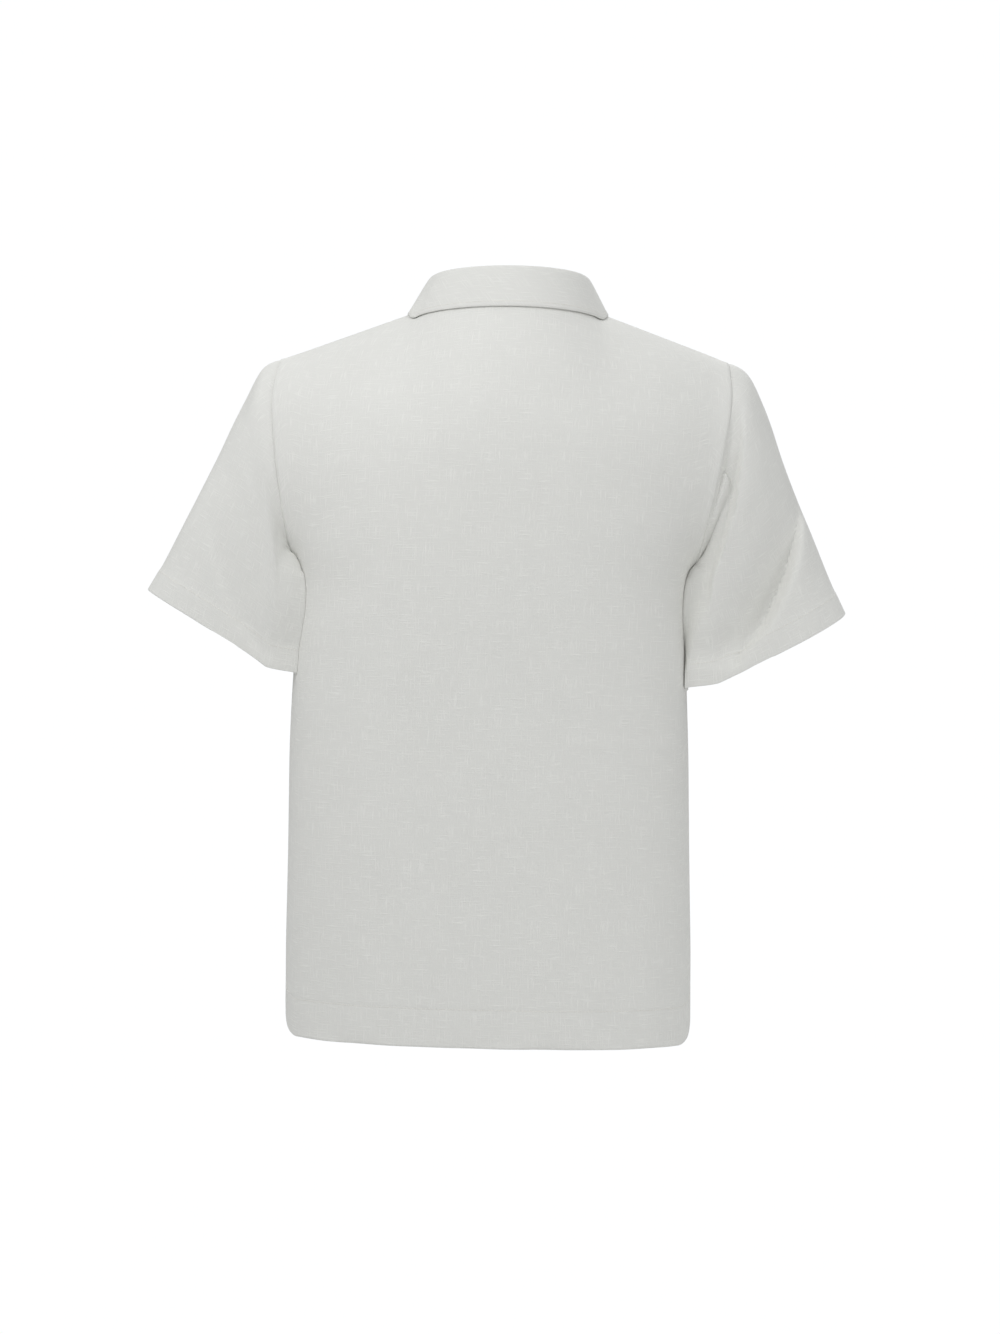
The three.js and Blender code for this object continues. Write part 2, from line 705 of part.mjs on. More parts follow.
function standSection(turn) {
  const bottom = neckEdge(turn);
  const top = standTop(turn);
  bottom.addScaledVector(top.clone().sub(bottom).normalize(), SEAM_GAP);
  return STAND_STEPS.map((t) => {
    const point = bottom.clone().lerp(top, t);
    point.z -= STAND_SAG * 4 * t * (1 - t);
    return point;
  });
}

// The free edge of the fall before it is laid on the panels
function fallEdge(turn) {
  const side = new THREE.Vector3(FALL_EDGE.width, 0, FALL_EDGE.sideZ);
  if (turn <= Math.PI / 2) {
    const cos = Math.cos(turn);
    return new THREE.Vector3(FALL_EDGE.width * Math.sin(turn), FALL_EDGE.back * cos,
      mix(FALL_EDGE.sideZ, FALL_EDGE.backZ, cos * cos));
  }
  const t = turn / (Math.PI / 2) - 1;
  return new THREE.QuadraticBezierCurve3(side, FALL_CHEEK, FALL_POINT).getPoint(t);
}

// The nearest point of the panels' outer faces, and which way they face there
function nearestOnPanels(surfaces, point) {
  let best = { distance: Infinity };
  const at = new THREE.Vector3();
  const triangle = new THREE.Triangle();
  for (const { surface, facing } of surfaces) {
    for (const face of surface.faces) {
      const [a, b, c] = face.map(([i, j]) => surface.grid[i][j]);
      if (Math.abs(a.z - point.z) > PANEL_REACH) continue;
      triangle.set(a, b, c);
      triangle.closestPointToPoint(point, at);
      const distance = at.distanceTo(point);
      if (distance < best.distance) {
        const normal = triangle.getNormal(new THREE.Vector3()).multiplyScalar(facing);
        best = { distance, foot: at.clone(), normal };
      }
    }
  }
  return best;
}

// Moves a point to a height over the panels: exactly, or only if it lies lower
function layOn(surfaces, point, height, exactly) {
  const { foot, normal } = nearestOnPanels(surfaces, point);
  const over = point.clone().sub(foot).dot(normal);
  return exactly || over < height ? point.addScaledVector(normal, height - over) : point;
}

// A section of the fall's under side: up from the stand, over the roll, down to the free edge
function fallSection(surfaces, turn) {
  const top = standTop(turn);
  const forward = clamp01(turn / (Math.PI / 2) - 1);
  const here = (size) => mix(size.back, size.front, forward);
  const over = (height) => new THREE.Vector3(top.x, top.y, top.z + height);
  const edge = layOn(surfaces, fallEdge(turn), FALL_CLEAR, true);
  const pull = over(here(FALL_CREST)).sub(edge).setLength(here(FALL_STRAIGHT)).add(edge);
  const curve = new THREE.CubicBezierCurve3(over(SEAM_GAP), over(here(FALL_ROLL)), pull, edge);
  return FALL_STEPS.map((t) => {
    const point = curve.getPoint(t);
    return t > FALL_LAID_FROM ? layOn(surfaces, point, FALL_CLEAR, false) : point;
  });
}

// Both halves of the collar from one section for each turn; facing gives the wall's outer side
function collarSurface(section, facing) {
  const end = Math.PI - Math.asin(COLLAR_FRONT_GAP / STAND_TOP.width);
  const half = [];
  for (let c = 0; c <= COLLAR_COLUMNS; c++) half.push(section((end * c) / COLLAR_COLUMNS));
  const columns = [...half.slice(1).reverse().map((line) => line.map(mirrored)), ...half];
  const grid = columns[0].map((_, r) => columns.map((line) => line[r].clone()));
  return gridSurface(grid, false, facing);
}

// Buttons

function buttonGeometry() {
  const { radius, thick, rim, dish, sides, holeRadius, holeOut, holeSides } = BUTTON;
  const outline = [
    [0, -thick / 2], [radius - rim, -thick / 2], [radius, -thick / 4], [radius, thick / 4],
    [radius - rim / 2, thick / 2], [radius - 2 * rim, thick / 2 - dish], [0, thick / 2 - dish],
  ];
  const points = [];
  const triangles = [];
  outline.forEach(([r, z]) => {
    for (let i = 0; i < (r === 0 ? 1 : sides); i++) {
      const turn = (2 * Math.PI * i) / sides;
      points.push(new THREE.Vector3(r * Math.cos(turn), r * Math.sin(turn), z));
    }
  });
  const ringStart = (ring) => (ring === 0 ? 0 : 1 + (ring - 1) * sides);
  const last = outline.length - 1;
  for (let i = 0; i < sides; i++) {
    const next = (i + 1) % sides;
    triangles.push([0, 1 + next, 1 + i]);
    for (let ring = 1; ring < last - 1; ring++) {
      const a = ringStart(ring);
      const b = ringStart(ring + 1);
      triangles.push([a + i, a + next, b + next], [a + i, b + next, b + i]);
    }
    const rimStart = ringStart(last - 1);
    triangles.push([rimStart + i, rimStart + next, ringStart(last)]);
  }
  let body = toManifold(solid(points, triangles));
  for (const [x, y] of [[1, 1], [-1, 1], [-1, -1], [1, -1]]) {
    const drill = new THREE.CylinderGeometry(holeRadius, holeRadius, 2 * thick, holeSides);
    drill.rotateX(Math.PI / 2);
    drill.translate(x * holeOut * Math.SQRT1_2, y * holeOut * Math.SQRT1_2, 0);
    body = body.subtract(toManifold(welded(drill)));
  }
  return fromManifold(body);
}

// A stock geometry with its shared corners merged
function welded(geometry) {
  const places = new Map();
  const points = [];
  const triangles = [];
  const position = geometry.attributes.position;
  const index = geometry.index.array;
  const place = (i) => {
    const point = new THREE.Vector3().fromBufferAttribute(position, i);
    const name = point.toArray().map((value) => value.toFixed(5)).join(" ");
    if (!places.has(name)) {
      places.set(name, points.length);
      points.push(point);
    }
    return places.get(name);
  };
  for (let i = 0; i < index.length; i += 3) {
    const corners = [place(index[i]), place(index[i + 1]), place(index[i + 2])];
    if (new Set(corners).size === 3) triangles.push(corners);
  }
  return solid(points, triangles);
}

// Assembly

const LINEN = new THREE.MeshStandardMaterial({ color: "#e4e2dd", roughness: 0.95, metalness: 0 });
const SHELL = new THREE.MeshStandardMaterial({ color: "#ece8de", roughness: 0.35, metalness: 0 });

const shirt = new THREE.Group();

function addPiece(name, geometry, material) {
  const piece = new THREE.Mesh(geometry, material);
  piece.name = name;
  shirt.add(piece);
  return piece;
}

function addLeaning(name, geometry) {
  const position = geometry.attributes.position;
  for (let i = 0; i < position.count; i++) {
    const point = lean(new THREE.Vector3().fromBufferAttribute(position, i));
    position.setXYZ(i, point.x, point.y, point.z);
  }
  return addPiece(name, geometry, LINEN);
}

const back = panelSurface(PANELS.back);
const front = panelSurface(PANELS.front);

function addPanels() {
  addLeaning("back", wall(back, panelThickness));
  const slot = cutter(
    new THREE.Vector3(-SLOT_HALF, SLOT_CUT.front, SLOT_BOTTOM),
    new THREE.Vector3(SLOT_HALF, SLOT_CUT.back, SLOT_CUT.top),
  );
  const cut = toManifold(wall(front, panelThickness)).subtract(toManifold(slot));
  addLeaning("front", fromManifold(cut));
}

function addSleeves() {
  for (const sleeve of SLEEVES) {
    addLeaning(sleeve.name, wall(sleeveSurface(sleeve), sleeveThickness));
  }
}

function addCollar() {
  const panels = [{ surface: back, facing: -1 }, { surface: front, facing: 1 }];
  const stand = collarSurface(standSection, -1);
  const fall = collarSurface((turn) => fallSection(panels, turn), 1);
  addLeaning("collar_stand", wall(stand, () => COLLAR_CLOTH));
  addLeaning("collar_fall", wall(fall, () => -COLLAR_CLOTH));
}

function addPlacket() {
  const under = strip(front, SLOT_HALF - SEAM_GAP, SLOT_BOTTOM + SEAM_GAP, PLACKET_TOP, 0);
  const upper = strip(front, PLACKET_HALF, PLACKET_BOTTOM, PLACKET_TOP, SEAM_GAP + CLOTH);
  addLeaning("placket_under", wall(under, () => CLOTH));
  addLeaning("placket_upper", wall(upper, () => CLOTH));
}

function addButtons() {
  const geometry = buttonGeometry();
  const lift = 2 * CLOTH + 2 * SEAM_GAP - CLOTH + BUTTON.thick / 2;
  BUTTON_HEIGHTS.forEach((height, i) => {
    const { point, normal } = frontPoint(front, 0, rowAt(front, height));
    const button = addPiece(`button_${i + 1}`, geometry, SHELL);
    button.position.copy(lean(point.addScaledVector(normal, lift)));
    button.quaternion.setFromUnitVectors(new THREE.Vector3(0, 0, 1), normal);
  });
}

addPanels();
addSleeves();
addCollar();
addPlacket();
addButtons();

export default shirt;
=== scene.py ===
import math

import bpy
import numpy as np
from mathutils import Matrix, Vector
from mathutils.bvhtree import BVHTree


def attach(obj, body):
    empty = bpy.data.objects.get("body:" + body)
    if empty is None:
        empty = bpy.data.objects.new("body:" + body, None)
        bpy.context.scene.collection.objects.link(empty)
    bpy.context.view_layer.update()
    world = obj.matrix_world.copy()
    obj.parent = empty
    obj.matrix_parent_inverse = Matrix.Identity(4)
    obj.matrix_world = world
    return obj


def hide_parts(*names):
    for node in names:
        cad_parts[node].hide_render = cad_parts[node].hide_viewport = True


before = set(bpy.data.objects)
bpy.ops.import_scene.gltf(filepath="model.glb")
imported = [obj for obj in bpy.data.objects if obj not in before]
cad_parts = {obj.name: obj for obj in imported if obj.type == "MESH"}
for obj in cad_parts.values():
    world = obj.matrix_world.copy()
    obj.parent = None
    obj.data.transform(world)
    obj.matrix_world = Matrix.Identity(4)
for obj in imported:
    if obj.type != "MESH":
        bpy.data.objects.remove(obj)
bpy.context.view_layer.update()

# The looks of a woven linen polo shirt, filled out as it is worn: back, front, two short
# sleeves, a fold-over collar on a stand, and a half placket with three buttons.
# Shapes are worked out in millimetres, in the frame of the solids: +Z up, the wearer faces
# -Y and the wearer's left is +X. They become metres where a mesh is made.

bl_info = {
    "name": "Linen polo shirt",
    "version": (1, 0, 0),
    "blender": (4, 5, 0),
    "location": "3D View > Sidebar > Shirt",
    "description": "Builds the cloth, seams and buttons of a linen polo shirt around its frame",
    "category": "Object",
}

# Body: sections from the hem to the underarm
BODY_HEIGHT = [-716, -650, -545, -424, -365, -310, -262]
BODY_WIDTH = [201.5, 201.5, 200, 198.5, 196.5, 195, 194]
BODY_DEPTH = {"back": [117, 115, 112, 112, 114, 117, 120], "front": [113, 112, 111, 112, 116, 120, 122]}
BODY_SQUARE = 2.5
HEM_Z = -716
HEM_RISE = 20
HEM_RISE_WIDTH = 54
HEM_RISE_FADES = 160
UNDERARM_Z = -262
ROW_HEIGHTS = [HEM_Z, -695, -674, -632, -582, -532, -482, -432, -386, -346, -312, -285, UNDERARM_Z]

# Shoulder and armhole
SHOULDER_TIP = np.array([222.0, 0, -45])
NECK_POINT = np.array([84.0, 0, 6])
ARMHOLE_HEIGHT = [UNDERARM_Z, -232, -175, -130, -85, -45]
ARMHOLE_WIDTH = [194, 203, 214, 221, 225.5, 222]
ARMHOLE_SQUARE = 0.85

# What differs between the two panels. side is +1 at the back and -1 at the front.
PANELS = {
    "back": dict(side=1, armhole_depth=61.5, armhole_cut=0, blade_depth=121, blade_z=-135,
                 neck_depth=66, neck_drop=-6, neck_power=1, arrive=(0, -82, 124), seed=5),
    "front": dict(side=-1, armhole_depth=57.5, armhole_cut=8, blade_depth=118, blade_z=-165,
                  neck_depth=62, neck_drop=72, neck_power=1.35, arrive=(0, 82, 72), seed=9),
}
COLUMNS = 15
NECK_COLUMNS = 6
NECK_SHARE = NECK_COLUMNS / COLUMNS
ARMHOLE_STEPS = 14
BLADE_STEP = 6
RELAX_ROUNDS = 8
RELAX_FADES = 5
RELAX_SHARE = 0.5
BLADE_PULL = 0.9  # how strongly the columns go on upwards from the blade row
FINE = 5  # fine columns for each coarse one
SECTION_SAMPLES = 161  # points at which a section's length is measured
# Fine rows through the body's hem, by their distance from its edge, and the ones above them
HEM_ROWS = [0, 1.5, 4, 8, 13, 18, 23, 28, 32, 34.5, 36, 37.5, 38.7, 40.5, 44]
ROWS_FROM = 49
ROWS_ABOVE = 125
CREASES = [(-425, -178, -74, 0.55), (-391, -152, -96, 0.3),
           (-356, -92, -45, 0.3)]  # height, from x, to x, depth

# Sleeve stations from the armhole to the cuff. over is the top line, under the bottom one.
SLEEVE_ALONG = [0, 0.1, 0.25, 0.45, 0.7, 0.9, 1]
SLEEVE = {
    "over_x": [222, 240, 262, 286, 315, 337, 347.5],
    "over_z": [-45, -54, -90, -148, -214, -264, -285],
    "under_x": [194, 196.5, 197, 197, 197, 197.5, 198],
    "under_z": [-262, -274, -290, -309, -332, -352, -363],
    "depth": [61.5, 62, 62, 58, 52, 47, 46],
}
SLEEVE_FRONT = 0.93
SLEEVE_COLUMNS = 168
SLEEVE_SAMPLES = 241  # points at which the length of a line down the sleeve is measured
# Fine rows as shares of the way to the hem's top, and on from there to the cuff
SLEEVE_ROWS = np.concatenate([[0, 0.004, 0.009, 0.015, 0.022, 0.03], np.linspace(0.04, 1, 56)])
SLEEVE_HEM_ROWS = np.array([0.06, 0.12, 0.2, 0.32, 0.46, 0.6, 0.74, 0.86, 0.95, 1])
SLEEVE_HEM = 24
SLEEVE_HEM_STEP = 0.8
SLEEVE_CLEAR = 1.3
HUG_FROM = 115
HUG_TURNS = 20
HUG_FADES = 0.25
TOUCH = 0.1  # between the sleeve's inner side and the body it is pressed against
TOUCH_FADES = 0.08
FOLD_ANGLE = 40  # a bend in a sleeve that is sharper than this keeps its edge
ARMHOLE_GAP = 0.6

# The groove beside the body and the slanting trough, each as heights and the values there
SLEEVES = {
    "sleeve_left": dict(
        side=1, square=2.7, under_square=4.5, cap_in=10, tip_drop=-7, under_drop=-2, cuff_sag=1,
        inner_rise=4, corner_drop=5, seed=61,
        groove_z=[-363, -45], groove_depth=[0, 0], groove_width=[12, 12],
        trough_z=[-352, -330, -280, -200], trough_x=[214, 232, 262, 284],
        trough_depth=[0, 2, 2.5, 0]),
    "sleeve_right": dict(
        side=-1, square=2.25, under_square=4, cap_in=0, tip_drop=7, under_drop=9, cuff_sag=6,
        inner_rise=6, corner_drop=0, seed=71,
        groove_z=[-380, -300, -262, -180, -130, -90], groove_depth=[11, 12, 12, 11, 6, 0],
        groove_width=[16, 17, 20, 21, 18, 12],
        trough_z=[-352, -331, -306, -281, -257, -222, -183, -150],
        trough_x=[236, 246.5, 264, 275, 284, 293, 300.5, 305],
        trough_depth=[2, 9, 15, 17, 16, 12, 6, 0]),
}
SINK_FROM = 25
GROOVE_STARTS = 1
GROOVE_FALLS = 4
GROOVE_RISES = 5  # the solids have 4, and a groove that is narrower and less deep
TROUGH_LONG = 32
TROUGH_SHORT = 5.5  # the solids have 9, for their coarser faces
TROUGH_SHARE = 1.4  # the trough is this many times as deep as in the solids
LAP = np.array([-1.6, 0, 0])  # how far the sleeve's edge lies in under the body's edge
LAP_DEPTH = 0.9
LAP_FADES = 0.03

# Collar
STAND_WIDTH = 75.5
STAND_DEPTH = (58, 57)
STAND_BACK_Z = 35
STAND_SIDE_Z = 31
STAND_FRONT_DROP = 72
COLLAR_COLUMNS = 72
COLLAR_FRONT_GAP = 1.5
FALL_SIDE = np.array([99, 0, 1.5])
FALL_BACK = 79
FALL_BACK_Z = 4
FALL_CHEEK = np.array([104, -60, -40])
FALL_POINT = np.array([46, -100, -80])
FALL_CLEAR = 0.8  # the solids have 1.5, for their coarser faces
FALL_LAID_FROM = 0.3
FALL_ROWS = np.linspace(0, 1, 31) ** 1.15
# The curve over the roll, at the back and at the front: how high it is pulled up, how high
# its crest is, and how far from the edge it turns down
ROLL_RISE = (17, 11)
CREST_RISE = (8, 5)
EDGE_PULL = (26, 22)
STAND_ROWS = 13
STAND_SAG = 1.6
COLLAR_CLOTH = 1.6

# Placket and buttons
SLOT_HALF = 13
SLOT_BOTTOM = -219
SLOT_COLUMN = 3
PLACKET_HALF = 16
PLACKET_BOTTOM = -223
PLACKET_TOP = -67.5
STRIP_ROWS = 53
STRIP_COLUMNS = 15
NEAR_CENTRE = 9  # fine columns on each side of the centre line that the placket can lie over
BUTTON_HEIGHTS = [-84, -134, -184]
BUTTON_OUTLINE = [(4.6, -1.3), (5.3, -1.05), (5.7, -0.5), (5.75, 0.1), (5.6, 0.7), (5.2, 1.15),
                  (4.8, 1.3), (4.4, 1.2), (4.0, 0.9), (3.5, 0.8)]  # radius and height
BUTTON_HALF = 1.3
BUTTON_SIDES = 64
BUTTON_FACE = 0.85  # where the button's thread lies, over its middle
BUTTON_EDGE_ANGLE = 38
BUTTON_HOLE_OUT = 1.06
BUTTON_HOLE_CUT = [(0.8, -3), (0.8, 3)]
BUTTON_HOLE_SIDES = 20
SOLID_CLOTH = 1.2  # one layer in the solids, which sets how high the placket lies
SEAM_GAP = 0.3

# Sewing
RIM_ROUND = 0.45  # how far a layer's rim bulges out, as a share of its thickness
HEM_PAST = 0.5  # a hem's second layer starts this far above its line
HEM_SOFT = 1.5  # and is full this far below its start
STITCH_SHARE = 0.78  # share of a stitch's pitch that shows as thread
THREAD_LIFT = 0.1  # how far a stitch's middle lies over the cloth
HEM_LINE_IN = 2  # how far below the top of a hem its stitches run
COLLAR_LINE_IN = 4.5
COLLAR_LINE_REACH = 60  # how far up the collar's front edges the stitches run
PLACKET_LINE_IN = 2.4
PLACKET_LINE_REACH = 200
PLACKET_BOX = 17  # height of the sewn box at the placket's foot
STRAND_APART = 0.4
BUTTONHOLE = 15
BUTTONHOLE_SIDE = 0.95
BUTTON_STITCH = (0.0022, 0.0031)  # pitch and length, in metres as the sewing sizes are
BUTTONHOLE_STITCH = (0.0005, 0.0015)

# Linen, in metres
SLUB_WIDTH = 0.0013
SLUB_LENGTH = 0.018
SLUB_CUT = (0.56, 0.78)  # noise from here to here becomes the slub's height
WEAVE_PITCH = 0.0008

# How far the shirt leans to +X at each height, and the share by which its +X side is higher
LEAN_HEIGHT = [-716, -550, -384, -250, -100, -45, 0, 45]
LEAN_SHIFT = [3, 4.5, 6, 3.5, -2, -5, -7, -8.5]
LEAN_TILT = [0.0095, 0.004, 0, -0.003, -0.006, -0.007, -0.007, -0.007]
LEAN_FULL = 200
LEAN_NONE = 350

# Soft studio lights: name, place, what it is aimed at, width in metres, power in watts
ROOM_LIGHT = (0.36, 0.66)  # from straight below and from straight above
ROOM_SEEN = 1.02
LIGHTS = [
    ("key", (0.50, 1.15, 0.85), (0, 0.1, -0.2), 0.8, 8.5),
    ("side_left", (1.3, 0.7, 0.1), (0, 0.1, -0.3), 0.6, 1.0),
    ("side_right", (-1.3, 0.9, -0.4), (0, 0.1, -0.5), 0.6, 2.2),
    ("front_fill", (-0.4, -1.25, 0.9), (0, -0.1, -0.2), 1.0, 10),
]
FLOOR_Z = -1.45
FLOOR_HALF = 1.7
CAMERA_PLACE = (-0.004, 2.730, -0.351)
CAMERA_ROLL = 0.014
CAMERA_LENS = 73.7
CAMERA_SENSOR = 36

MIRROR = np.array([-1.0, 1, 1])
OUT = {"back": 1, "front": -1}


def linear(code):
    """An sRGB hex colour as linear red, green and blue."""
    parts = [int(code[i:i + 2], 16) / 255 for i in (1, 3, 5)]
    return [c / 12.92 if c <= 0.04045 else ((c + 0.055) / 1.055) ** 2.4 for c in parts]


class ShirtSizes(bpy.types.PropertyGroup):
    """Sizes of the cloth and the sewing."""

    cloth: bpy.props.FloatProperty(
        name="Cloth", description="Thickness of one layer of linen",
        default=0.0008, min=0.0003, max=0.0012, unit="LENGTH")
    hem: bpy.props.FloatProperty(
        name="Body hem", description="Depth of the hem at the bottom of the body",
        default=0.038, min=0.01, max=0.06, unit="LENGTH")
    stitch: bpy.props.FloatProperty(
        name="Stitch", description="Length of one stitch with the space after it",
        default=0.0032, min=0.001, max=0.006, unit="LENGTH")
    thread: bpy.props.FloatProperty(
        name="Thread", description="Thickness of the sewing thread",
        default=0.0006, min=0.0002, max=0.001, unit="LENGTH")
    pucker: bpy.props.FloatProperty(
        name="Pucker", description="How much the cloth gathers beside its seams",
        default=1.0, min=0.0, max=2.0, subtype="FACTOR")


class ShirtColours(bpy.types.PropertyGroup):
    """Colours of the cloth, thread and buttons."""

    linen: bpy.props.FloatVectorProperty(
        name="Linen", description="Colour of the woven linen",
        default=linear("#e8e8e4"), size=3, min=0, max=1, subtype="COLOR")
    thread: bpy.props.FloatVectorProperty(
        name="Thread", description="Colour of the sewing thread",
        default=linear("#eeece6"), size=3, min=0, max=1, subtype="COLOR")
    button: bpy.props.FloatVectorProperty(
        name="Buttons", description="Colour of the buttons",
        default=linear("#ece8de"), size=3, min=0, max=1, subtype="COLOR")
    floor: bpy.props.FloatVectorProperty(
        name="Floor", description="Colour of the studio floor",
        default=linear("#f4f4f3"), size=3, min=0, max=1, subtype="COLOR")


# Curves and tables

def mix(a, b, t):
    return a + (b - a) * t


def ease(t):
    t = np.clip(t, 0, 1)
    return t * t * (3 - 2 * t)


def bell(at, middle, width):
    return np.exp(-((at - middle) / width) ** 2)


def window(at, low, high, soft):
    """1 between low and high, falling softly to 0 outside them."""
    return ease((at - low) / soft + 0.5) * ease((high - at) / soft + 0.5)


def waves(at, length, seed):
    """Uneven waves of about one length, between -1 and 1."""
    phases = np.random.default_rng(seed).uniform(0, 2 * math.pi, 3)
    turn = 2 * math.pi * np.asarray(at) / length
    mixed = (np.sin(turn + phases[0]) + 0.7 * np.sin(1.63 * turn + phases[1])
             + 0.6 * np.sin(0.57 * turn + phases[2]))
    return mixed / 2.3


def hermite(start, leave, end, arrive, t):
    t2 = t * t
    t3 = t2 * t
    return (start * (2 * t3 - 3 * t2 + 1) + leave * (t3 - 2 * t2 + t)
            + end * (3 * t2 - 2 * t3) + arrive * (t3 - t2))


def from_table(places, values, at):
    """Values on a curve through a table's rows that never overshoots them."""
    places = np.asarray(places, float)
    values = np.asarray(values, float)
    steps = np.diff(places)
    slopes = np.diff(values) / steps
    product = slopes[:-1] * slopes[1:]
    total = slopes[:-1] + slopes[1:]
    inner = np.where(product > 0, 2 * product / np.where(total == 0, 1, total), 0)
    tangents = np.concatenate([slopes[:1], inner, slopes[-1:]])
    i = np.clip(np.searchsorted(places, at) - 1, 0, len(steps) - 1)
    t = np.clip((at - places[i]) / steps[i], 0, 1)
    return hermite(values[i], tangents[i] * steps[i], values[i + 1], tangents[i + 1] * steps[i], t)


def refine(grid, knots, at):
    """Rows at the places `at` on smooth curves through a grid's rows, which stand at knots."""
    steps = np.diff(knots)
    slopes = np.diff(grid, axis=0) / steps[:, None, None]
    after = (steps[:-1] / (steps[:-1] + steps[1:]))[:, None, None]
    inner = mix(slopes[:-1], slopes[1:], after)
    tangents = np.concatenate([slopes[:1], inner, slopes[-1:]])
    i = np.clip(np.searchsorted(knots, at) - 1, 0, len(steps) - 1)
    t = ((at - knots[i]) / steps[i])[:, None, None]
    step = steps[i][:, None, None]
    return hermite(grid[i], tangents[i] * step, grid[i + 1], tangents[i + 1] * step, t)


def lean(points):
    """Points of the upright shirt moved to where the hanging shirt has them."""
    x = points[..., 0]
    z = points[..., 2]
    fade = 1 - np.clip((np.abs(x) - LEAN_FULL) / (LEAN_NONE - LEAN_FULL), 0, 1)
    moved = points.copy()
    moved[..., 0] += from_table(LEAN_HEIGHT, LEAN_SHIFT, z) * fade
    moved[..., 2] += from_table(LEAN_HEIGHT, LEAN_TILT, z) * x * fade
    return moved


# Sheets of cloth

def unit(vectors):
    return vectors / np.maximum(np.linalg.norm(vectors, axis=-1, keepdims=True), 1e-9)


def lengths_along(grid, axis):
    """Distance along each row or column of a grid, from its first point."""
    steps = np.linalg.norm(np.diff(grid, axis=axis), axis=-1)
    start = np.zeros_like(np.take(steps, [0], axis=axis))
    return np.concatenate([start, np.cumsum(steps, axis=axis)], axis=axis)


def grid_normals(grid, facing, closed=False):
    """Which way a grid faces at each point."""
    if closed:
        across = np.roll(grid, -1, axis=1) - np.roll(grid, 1, axis=1)
    else:
        across = np.gradient(grid, axis=1)
    up = np.gradient(grid, axis=0)
    return unit(np.cross(across, up)) * facing


def grid_faces(rows, columns, facing, closed=False, keep=lambda row, column: True):
    """Quads of a grid, as point numbers in the order that faces outwards."""
    faces = []
    for r in range(rows - 1):
        for c in range(columns if closed else columns - 1):
            if not keep(r, c):
                continue
            following = (c + 1) % columns
            quad = (r * columns + c, r * columns + following,
                    (r + 1) * columns + following, (r + 1) * columns + c)
            faces.append(quad if facing > 0 else quad[::-1])
    return faces


def rim_edges(faces):
    """Edges with a face on one side only, each with that face."""
    sides = {}
    for face in faces:
        for a, b in zip(face, face[1:] + face[:1]):
            sides[a, b] = face
    return [(a, b, face) for (a, b), face in sides.items() if (b, a) not in sides]


def cloth_mesh(name, sheet, faces, thickness, girth=None):
    """A closed layer of cloth: its outer face, its inner face and a rounded rim between."""
    points, normals, across, up = sheet
    points = points.reshape(-1, 3)
    normals = normals.reshape(-1, 3)
    thickness = np.broadcast_to(thickness, up.shape).reshape(-1, 1)
    uv = np.stack([across.ravel(), up.ravel()], axis=-1)
    used = np.zeros(len(points), bool)
    used[np.array(faces).ravel()] = True
    number = np.cumsum(used) - 1
    inner = points - normals * thickness
    outward = np.zeros_like(points)
    rim = rim_edges(faces)
    for a, b, face in rim:
        middle = points[list(face)].mean(axis=0)
        outward[a] += points[a] - middle
        outward[b] += points[b] - middle
    outward -= normals * (outward * normals).sum(axis=1, keepdims=True)
    centre = (points + inner) / 2 + unit(outward) * thickness * RIM_ROUND
    on_rim = sorted({i for a, b, _ in rim for i in (a, b)})
    count = int(used.sum())
    rim_number = {point: 2 * count + k for k, point in enumerate(on_rim)}
    outer_quads = [tuple(int(number[i]) for i in face) for face in faces]
    quads = outer_quads + [tuple(i + count for i in face[::-1]) for face in outer_quads]
    for a, b, _ in rim:
        na, nb = int(number[a]), int(number[b])
        quads.append((nb, na, rim_number[a], rim_number[b]))
        quads.append((rim_number[b], rim_number[a], na + count, nb + count))
    places = np.concatenate([points[used], inner[used], centre[on_rim]])
    mesh = bpy.data.meshes.new(name)
    mesh.from_pydata((lean(places) / 1000).tolist(), [], quads)
    corner_uv = np.concatenate([uv[used], uv[used], uv[on_rim]])[np.array(quads).ravel()]
    if girth is not None:
        around = corner_uv[:, 0].reshape(-1, 4)
        wraps = around.max(axis=1, keepdims=True) - around.min(axis=1, keepdims=True) > girth / 2
        around += np.where(wraps & (around < girth / 2), girth, 0)
        corner_uv[:, 0] = around.ravel()
    layer = mesh.uv_layers.new(name="thread_lines")
    layer.data.foreach_set("uv", (corner_uv / 1000).ravel())
    mesh.shade_smooth()
    mesh.validate()
    return mesh


def link(name, data):
    """A new object in the scene."""
    made = bpy.data.objects.new(name, data)
    bpy.context.scene.collection.objects.link(made)
    return made


def show(name, mesh, material):
    """A piece of the shirt for a finished mesh."""
    mesh.materials.clear()
    mesh.materials.append(material)
    piece = link(name, mesh)
    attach(piece, "root")
    return piece


class Shirt:
    """Shapes and materials that several pieces share, made once."""

    panels = {}
    slot_row = 0
    tree = None
    materials = {}


def hemmed(cloth, hem, up):
    """How thick a piece is at each distance from its edge, two layers in the hem."""
    return cloth * (1 + ease((hem + HEM_PAST - up) / HEM_SOFT))


def add_cloth(name, sheet, faces, thickness, girth=None):
    """A piece of cloth in place of its solid, kept for the pieces and stitches that lie on it."""
    mesh = cloth_mesh(name, sheet, faces, thickness, girth)
    piece = show(name + "_cloth", mesh, Shirt.materials["linen"])
    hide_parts(name)
    Shirt.panels[name] = sheet
    return piece


# Panels

def armhole_point(panel, step):
    turn = math.pi * (1 - np.asarray(step, float) / ARMHOLE_STEPS)
    z = mix(UNDERARM_Z, SHOULDER_TIP[2], (1 + np.cos(turn)) / 2)
    swell = np.maximum(0, np.sin(turn))
    x = from_table(ARMHOLE_HEIGHT, ARMHOLE_WIDTH, z) - panel["armhole_cut"] * swell ** 2
    y = panel["side"] * panel["armhole_depth"] * swell ** ARMHOLE_SQUARE
    return np.stack([x, y, z], axis=-1)


